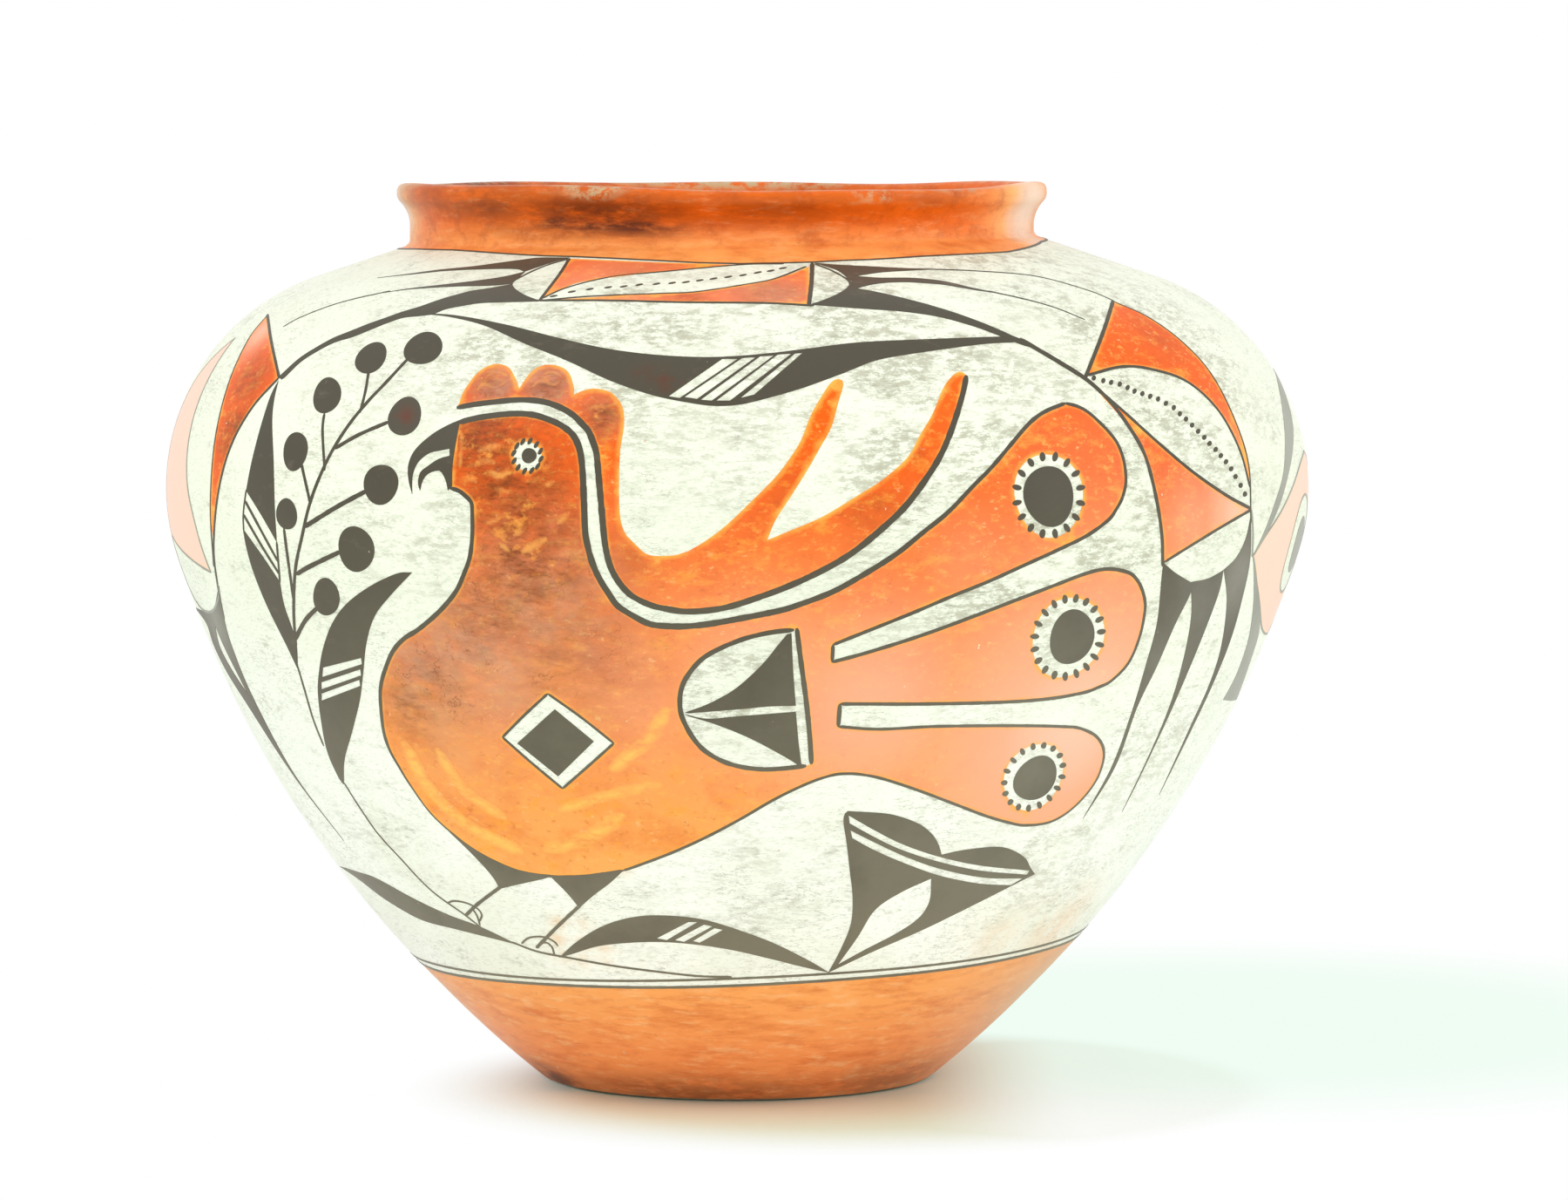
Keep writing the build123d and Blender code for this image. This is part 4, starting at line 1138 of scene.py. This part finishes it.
paints = {"orange": {"material": orangePaint, "slot": "orange_slip", "paintedHighlight": orangeGlareMarks},
          "wiped": {"material": wipedPaint, "slot": "orange_slip", "paintedHighlight": orangeGlareMarks},
          "black": {"material": blackPaint, "slot": "fired_clay", "paintedHighlight": blackGlareMarks}}
paintPieces = [
    {"name": "bird_body_orange", "paint": "orange", "marks": birdMarks, "lines": [], "fills": [
        [[backInner, tailOne, tailGapOne, tailTwo, tailGapTwo, tailThree, belly, faceEdge],
         eyeRing, diamondOuter, shieldField, *tailRings]]},
    {"name": "comb_and_plumes_orange", "paint": "orange", "marks": combMarks, "lines": [],
        "fills": [[[backOuter, plumeTwo, plumeOne, combTwo, combOne]]]},
    {"name": "head_wipes_tan", "paint": "wiped", "marks": birdMarks + combMarks, "fills": [],
        "lines": tanStrokes},
    {"name": "bird_black", "paint": "black", "marks": blackMarks,
        "fills": apart(beakTop, thighOne, thighTwo, upperVane, lowerVane, diamondInner, eyePupil, *tailEyes,
            *tailDots, *eyeDashes),
        "lines": [(innerWidths, backInner), (outerWidths, backOuter), (0.95, tailOne), (0.95, tailGapOne),
            (0.95, tailTwo), (1.1, tailGapTwo), (0.8, tailThree), (bellyWidths, belly), (1.25, shieldRim),
            (1.25, shieldBar), *[(0.7, side) for side in diamondOuter], *birdLegs]},
    {"name": "berry_sprig_black", "paint": "black", "marks": blackMarks, "lines": stems,
        "fills": apart(*[oval(*berry) for berry in berries])},
    {"name": "blade_and_leaf_black", "paint": "black", "marks": [],
        "fills": [[bladeTop], [bladeLow], [stripedLeaf, *leafBars]],
        "lines": [*bladeHatch, leafLine, bladeLine, (0.6, run(281,562, 278,590, 279,612)),
            (0.7, run(317,622, 321,668))]},
    {"name": "ground_plants_black", "paint": "black", "marks": [], "lines": [groundLine],
        "fills": [[groundLeaf], [archLeaf, *archBars], [tulip, tulipLeaf, *tulipStripes]]},
    {"name": "swag_black", "paint": "black", "marks": blackMarks, "lines": [], "fills": [[swag, *swagBars]]},
    {"name": "arch_feathers_black", "paint": "black", "marks": [],
        "fills": [*apart(featherLeftTop, featherLeftMid, featherLeftLow, featherRightTop, featherRightMid,
            featherRightLow, *featherRightDown), [featherLeftDown, featherLeftGap]],
        "lines": [bandRight, *featherLeftLines, *featherRightLines]},
    {"name": "medallions_orange", "paint": "orange", "marks": medallionMarks, "lines": [],
        "fills": apart(medallionTopUpper, medallionTopLower, crescent, lowerTriangle, leftMedallionIn)},
    {"name": "medallions_black", "paint": "black", "marks": [],
        "fills": apart(*[oval(x, y, 2.3, 3.0, 14) for x, y in medallionRightDots],
            *[oval(x, y, 4.6, 0.85, -10) for x, y in medallionTopDashes]),
        "lines": [*medallionTopLines, *medallionRightLines, *leftMedallionLines]},
    # The side motifs, orange and black, are paled all over by painted glare
    {"name": "side_motifs_orange_glare", "paint": "orange", "flat": True, "paintedHighlight": 1.5, "marks": [], "lines": [],
        "fills": [[farTriangle], [flower, flowerEye]]},
    {"name": "side_motifs_black", "paint": "black", "flat": True, "paintedHighlight": 1.25, "marks": [],
        "fills": apart(flowerLeafHigh, flowerLeafLow, flowerPupil),
        "lines": [*[(0.6, side) for side in flower], *[(0.7, side) for side in farTriangle], (0.7, farCap),
            (0.7, flowerEye[0]), (0.8, run(60.7,190.9, 62.3,178.3))]},
]

# Each painted piece stands on the front and again on the far side, half a turn round
for piece in paintPieces:
    paint, lift, flat = paints[piece["paint"]], film[piece["paint"]], "flat" in piece
    films = [fillFilm(region, lift, flat) for region in piece["fills"]]
    for width, points in piece["lines"]:
        films.append(ribbon(even(charted(points, flat), stroke["step"]), width, lift, False))
    place, lifts, faces, edge = merge(films)
    front = toSurface(place[:, 0], place[:, 1], lifts)
    # painted glare: a set amount over a side motif, otherwise by its paint's glare marks
    paintedHighlight = np.full(len(front), piece["paintedHighlight"]) if "paintedHighlight" in piece else sootWearAndPaintedLight(front, spots(paint["paintedHighlight"]))
    values = {"brown": sootWearAndPaintedLight(front, spots(piece["marks"])), "edge": edge, "paintedHighlight": paintedHighlight,
              "wornAndSideShade": sootWearAndPaintedLight(front, spots(rubMarks))}
    for side, turn in (("front", 0.0), ("back", np.pi)):
        points = toSurface(place[:, 0] + turn, place[:, 1], lifts)
        addPiece(f"{piece['name']}_{side}", points, faces, paint["material"], values=values)
    print("painted", piece["name"], len(place))


def neckFoot(angle):
    # the outer edge of the neck's orange, as a wall length
    around = allRound(borderCount["search"]) - np.pi
    reach = np.maximum(neckBorder(around), jar["neckRadius"] + neck["fillet"])
    across, ahead = jar["neckShift"] + reach * np.sin(around), reach * np.cos(around)
    length = shoulderLength(np.hypot(across, ahead))
    return np.interp(angle, np.arctan2(across, ahead), length, period=2 * np.pi)


# Border lines run right round the jar: a line, mm above it, a wave of (mm, waves round it, start), a width
borderCount = {"points": 720, "search": 1440, "lift": 0.01}
borders = {"foot_line": {"along": slipLine, "above": 0.15, "wave": (0.12, 7, 0.0), "width": 0.95},
           "base_line": {"along": slipLine, "above": 2.7, "wave": (0.25, 5, 1.0), "width": 0.8},
           "neck_line": {"along": neckFoot, "above": 0.0, "wave": (0.0, 1, 0.0), "width": 0.75}}
for name, line in borders.items():
    angle = allRound(borderCount["points"])
    size, count, start = line["wave"]
    length = line["along"](angle) + line["above"] + size * np.sin(count * angle + start)
    path = np.stack([angle * chart["radius"], length], -1)
    place, lifts, faces, edge = ribbon(path, line["width"], film["black"] + borderCount["lift"], True)
    points = toSurface(place[:, 0], place[:, 1], lifts)
    clean = np.zeros(len(points))
    addPiece(name + "_black", points, faces, blackPaint,
             values={"brown": clean, "edge": edge, "paintedHighlight": clean})
print("border lines painted")

# Stage, in metres: white paper under soft panels, and a surround that the camera and the polish see as white
stage = {"world": 0.72, "reach": 40.0, "aim": (0, 0, 0.13), "paper": "#f8fef9", "paperSeen": "#dee5d1",
         "mint": "#effdf3", "white": "#ffffff", "middle": (0.029, -0.027, 0), "dark": (0.066, 0.12),
         "shadowSide": (0.13, 0.1, 0), "pale": (0.09, 0.21), "right": (0.041, 0.092), "most": 0.8}


def seenAs(tree):
    # one for rays of the camera and of reflections, nothing for light that falls on the object
    path = addNode(tree, "ShaderNodeLightPath", {})
    rays = {0: path["Is Camera Ray"], 1: path["Is Glossy Ray"]}
    return addNode(tree, "ShaderNodeMath", rays, operation="MAXIMUM")[0]


world = bpy.data.worlds.new("white_studio")
bpy.context.scene.world = world
world.use_nodes = True
tree = world.node_tree
tree.nodes.clear()
strength = addNode(tree, "ShaderNodeMapRange", {0: seenAs(tree), 3: stage["world"], 4: 1.0})[0]
sky = addNode(tree, "ShaderNodeBackground", {"Color": linear(stage["white"]), "Strength": strength})[0]
addNode(tree, "ShaderNodeOutputWorld", {0: sky})

# Paper: the jar's shadow shows near its foot, a painted shadow glows mint on its right, and the paper seen
# further off is plain white; near the foot the paper seen is darker and greener than the paper that lights
# the jar, a painted shade
material, tree = newMaterial("white_paper_sweep")
seen = seenAs(tree)
place = addNode(tree, "ShaderNodeTexCoord", {})["Object"]
across = addNode(tree, "ShaderNodeSeparateXYZ", {0: place})["X"]
spans = [{0: place, 1: stage[key]} for key in ("middle", "shadowSide")]
away, beyond = (addNode(tree, "ShaderNodeVectorMath", ends, operation="DISTANCE")["Value"] for ends in spans)
steps = []
for value, (low, high), most in ((away, stage["dark"], 1.0), (across, stage["right"], stage["most"]),
                                 (beyond, stage["pale"], 1.0)):
    links = {0: value, 1: low, 2: high, 4: most}
    steps.append(addNode(tree, "ShaderNodeMapRange", links, interpolation_type="SMOOTHSTEP")[0])
clear, side, pale = steps
# painted shade: the paper seen takes a darker, greener colour; painted shadow: the glow seen is mint near the
# jar's right, white further off
tints = [{0: seen, 6: linear(stage["paper"]), 7: linear(stage["paperSeen"])},
         {0: pale, 6: linear(stage["mint"]), 7: linear(stage["white"])}]
tint, tone = (addNode(tree, "ShaderNodeMix", links, data_type="RGBA")[2] for links in tints)
paper = addNode(tree, "ShaderNodeBsdfDiffuse", {"Color": tint})[0]
glow = addNode(tree, "ShaderNodeEmission", {"Color": tone, "Strength": 1.0})[0]
white = addNode(tree, "ShaderNodeMath", {0: clear, 1: side}, operation="MAXIMUM")[0]
share = addNode(tree, "ShaderNodeMath", {0: white, 1: seen}, operation="MULTIPLY")[0]
mixed = addNode(tree, "ShaderNodeMixShader", {0: share, 1: paper, 2: glow})[0]
addNode(tree, "ShaderNodeOutputMaterial", {0: mixed})
floorMesh = bpy.data.meshes.new("floor")
corners = stage["reach"] * np.array([(-1, -1, 0), (1, -1, 0), (1, 1, 0), (-1, 1, 0)])
floorMesh.from_pydata(corners.tolist(), [], [(0, 1, 2, 3)])
floorMesh.materials.append(material)
floor = addObject("floor", floorMesh)

lamps = [{"name": "left_window", "place": (-1.5, -0.7, 1.5), "size": 1.3, "power": 13.2},
         {"name": "right_panel", "place": (1.7, -0.5, 0.9), "size": 1.2, "power": 10.0},
         {"name": "top_panel", "place": (0.1, -0.3, 1.9), "size": 1.4, "power": 3.6},
         {"name": "front_fill", "place": (0.1, -1.9, 0.3), "size": 1.4, "power": 8.2}]
for lamp in lamps:
    light = bpy.data.lights.new(lamp["name"], "AREA")
    light.shape = "SQUARE"
    light.size = lamp["size"]
    light.energy = lamp["power"]
    holder = addObject(lamp["name"], light)
    holder.location = lamp["place"]
    holder.rotation_euler = (Vector(stage["aim"]) - Vector(lamp["place"])).to_track_quat("-Z", "Y").to_euler()

lens = bpy.data.cameras.new("photo_camera")
lens.sensor_width = camera["sensor"]
lens.lens = camera["focal"] / camera["width"] * camera["sensor"]
lens.clip_start, lens.clip_end = camera["clip"]
eye = addObject("photo_camera", lens)
eye.location = camera["place"] * mm
eye.rotation_euler = (np.pi / 2 - camera["pitch"], 0, 0)
bpy.context.scene.camera = eye
bpy.context.scene.view_settings.view_transform = "Standard"
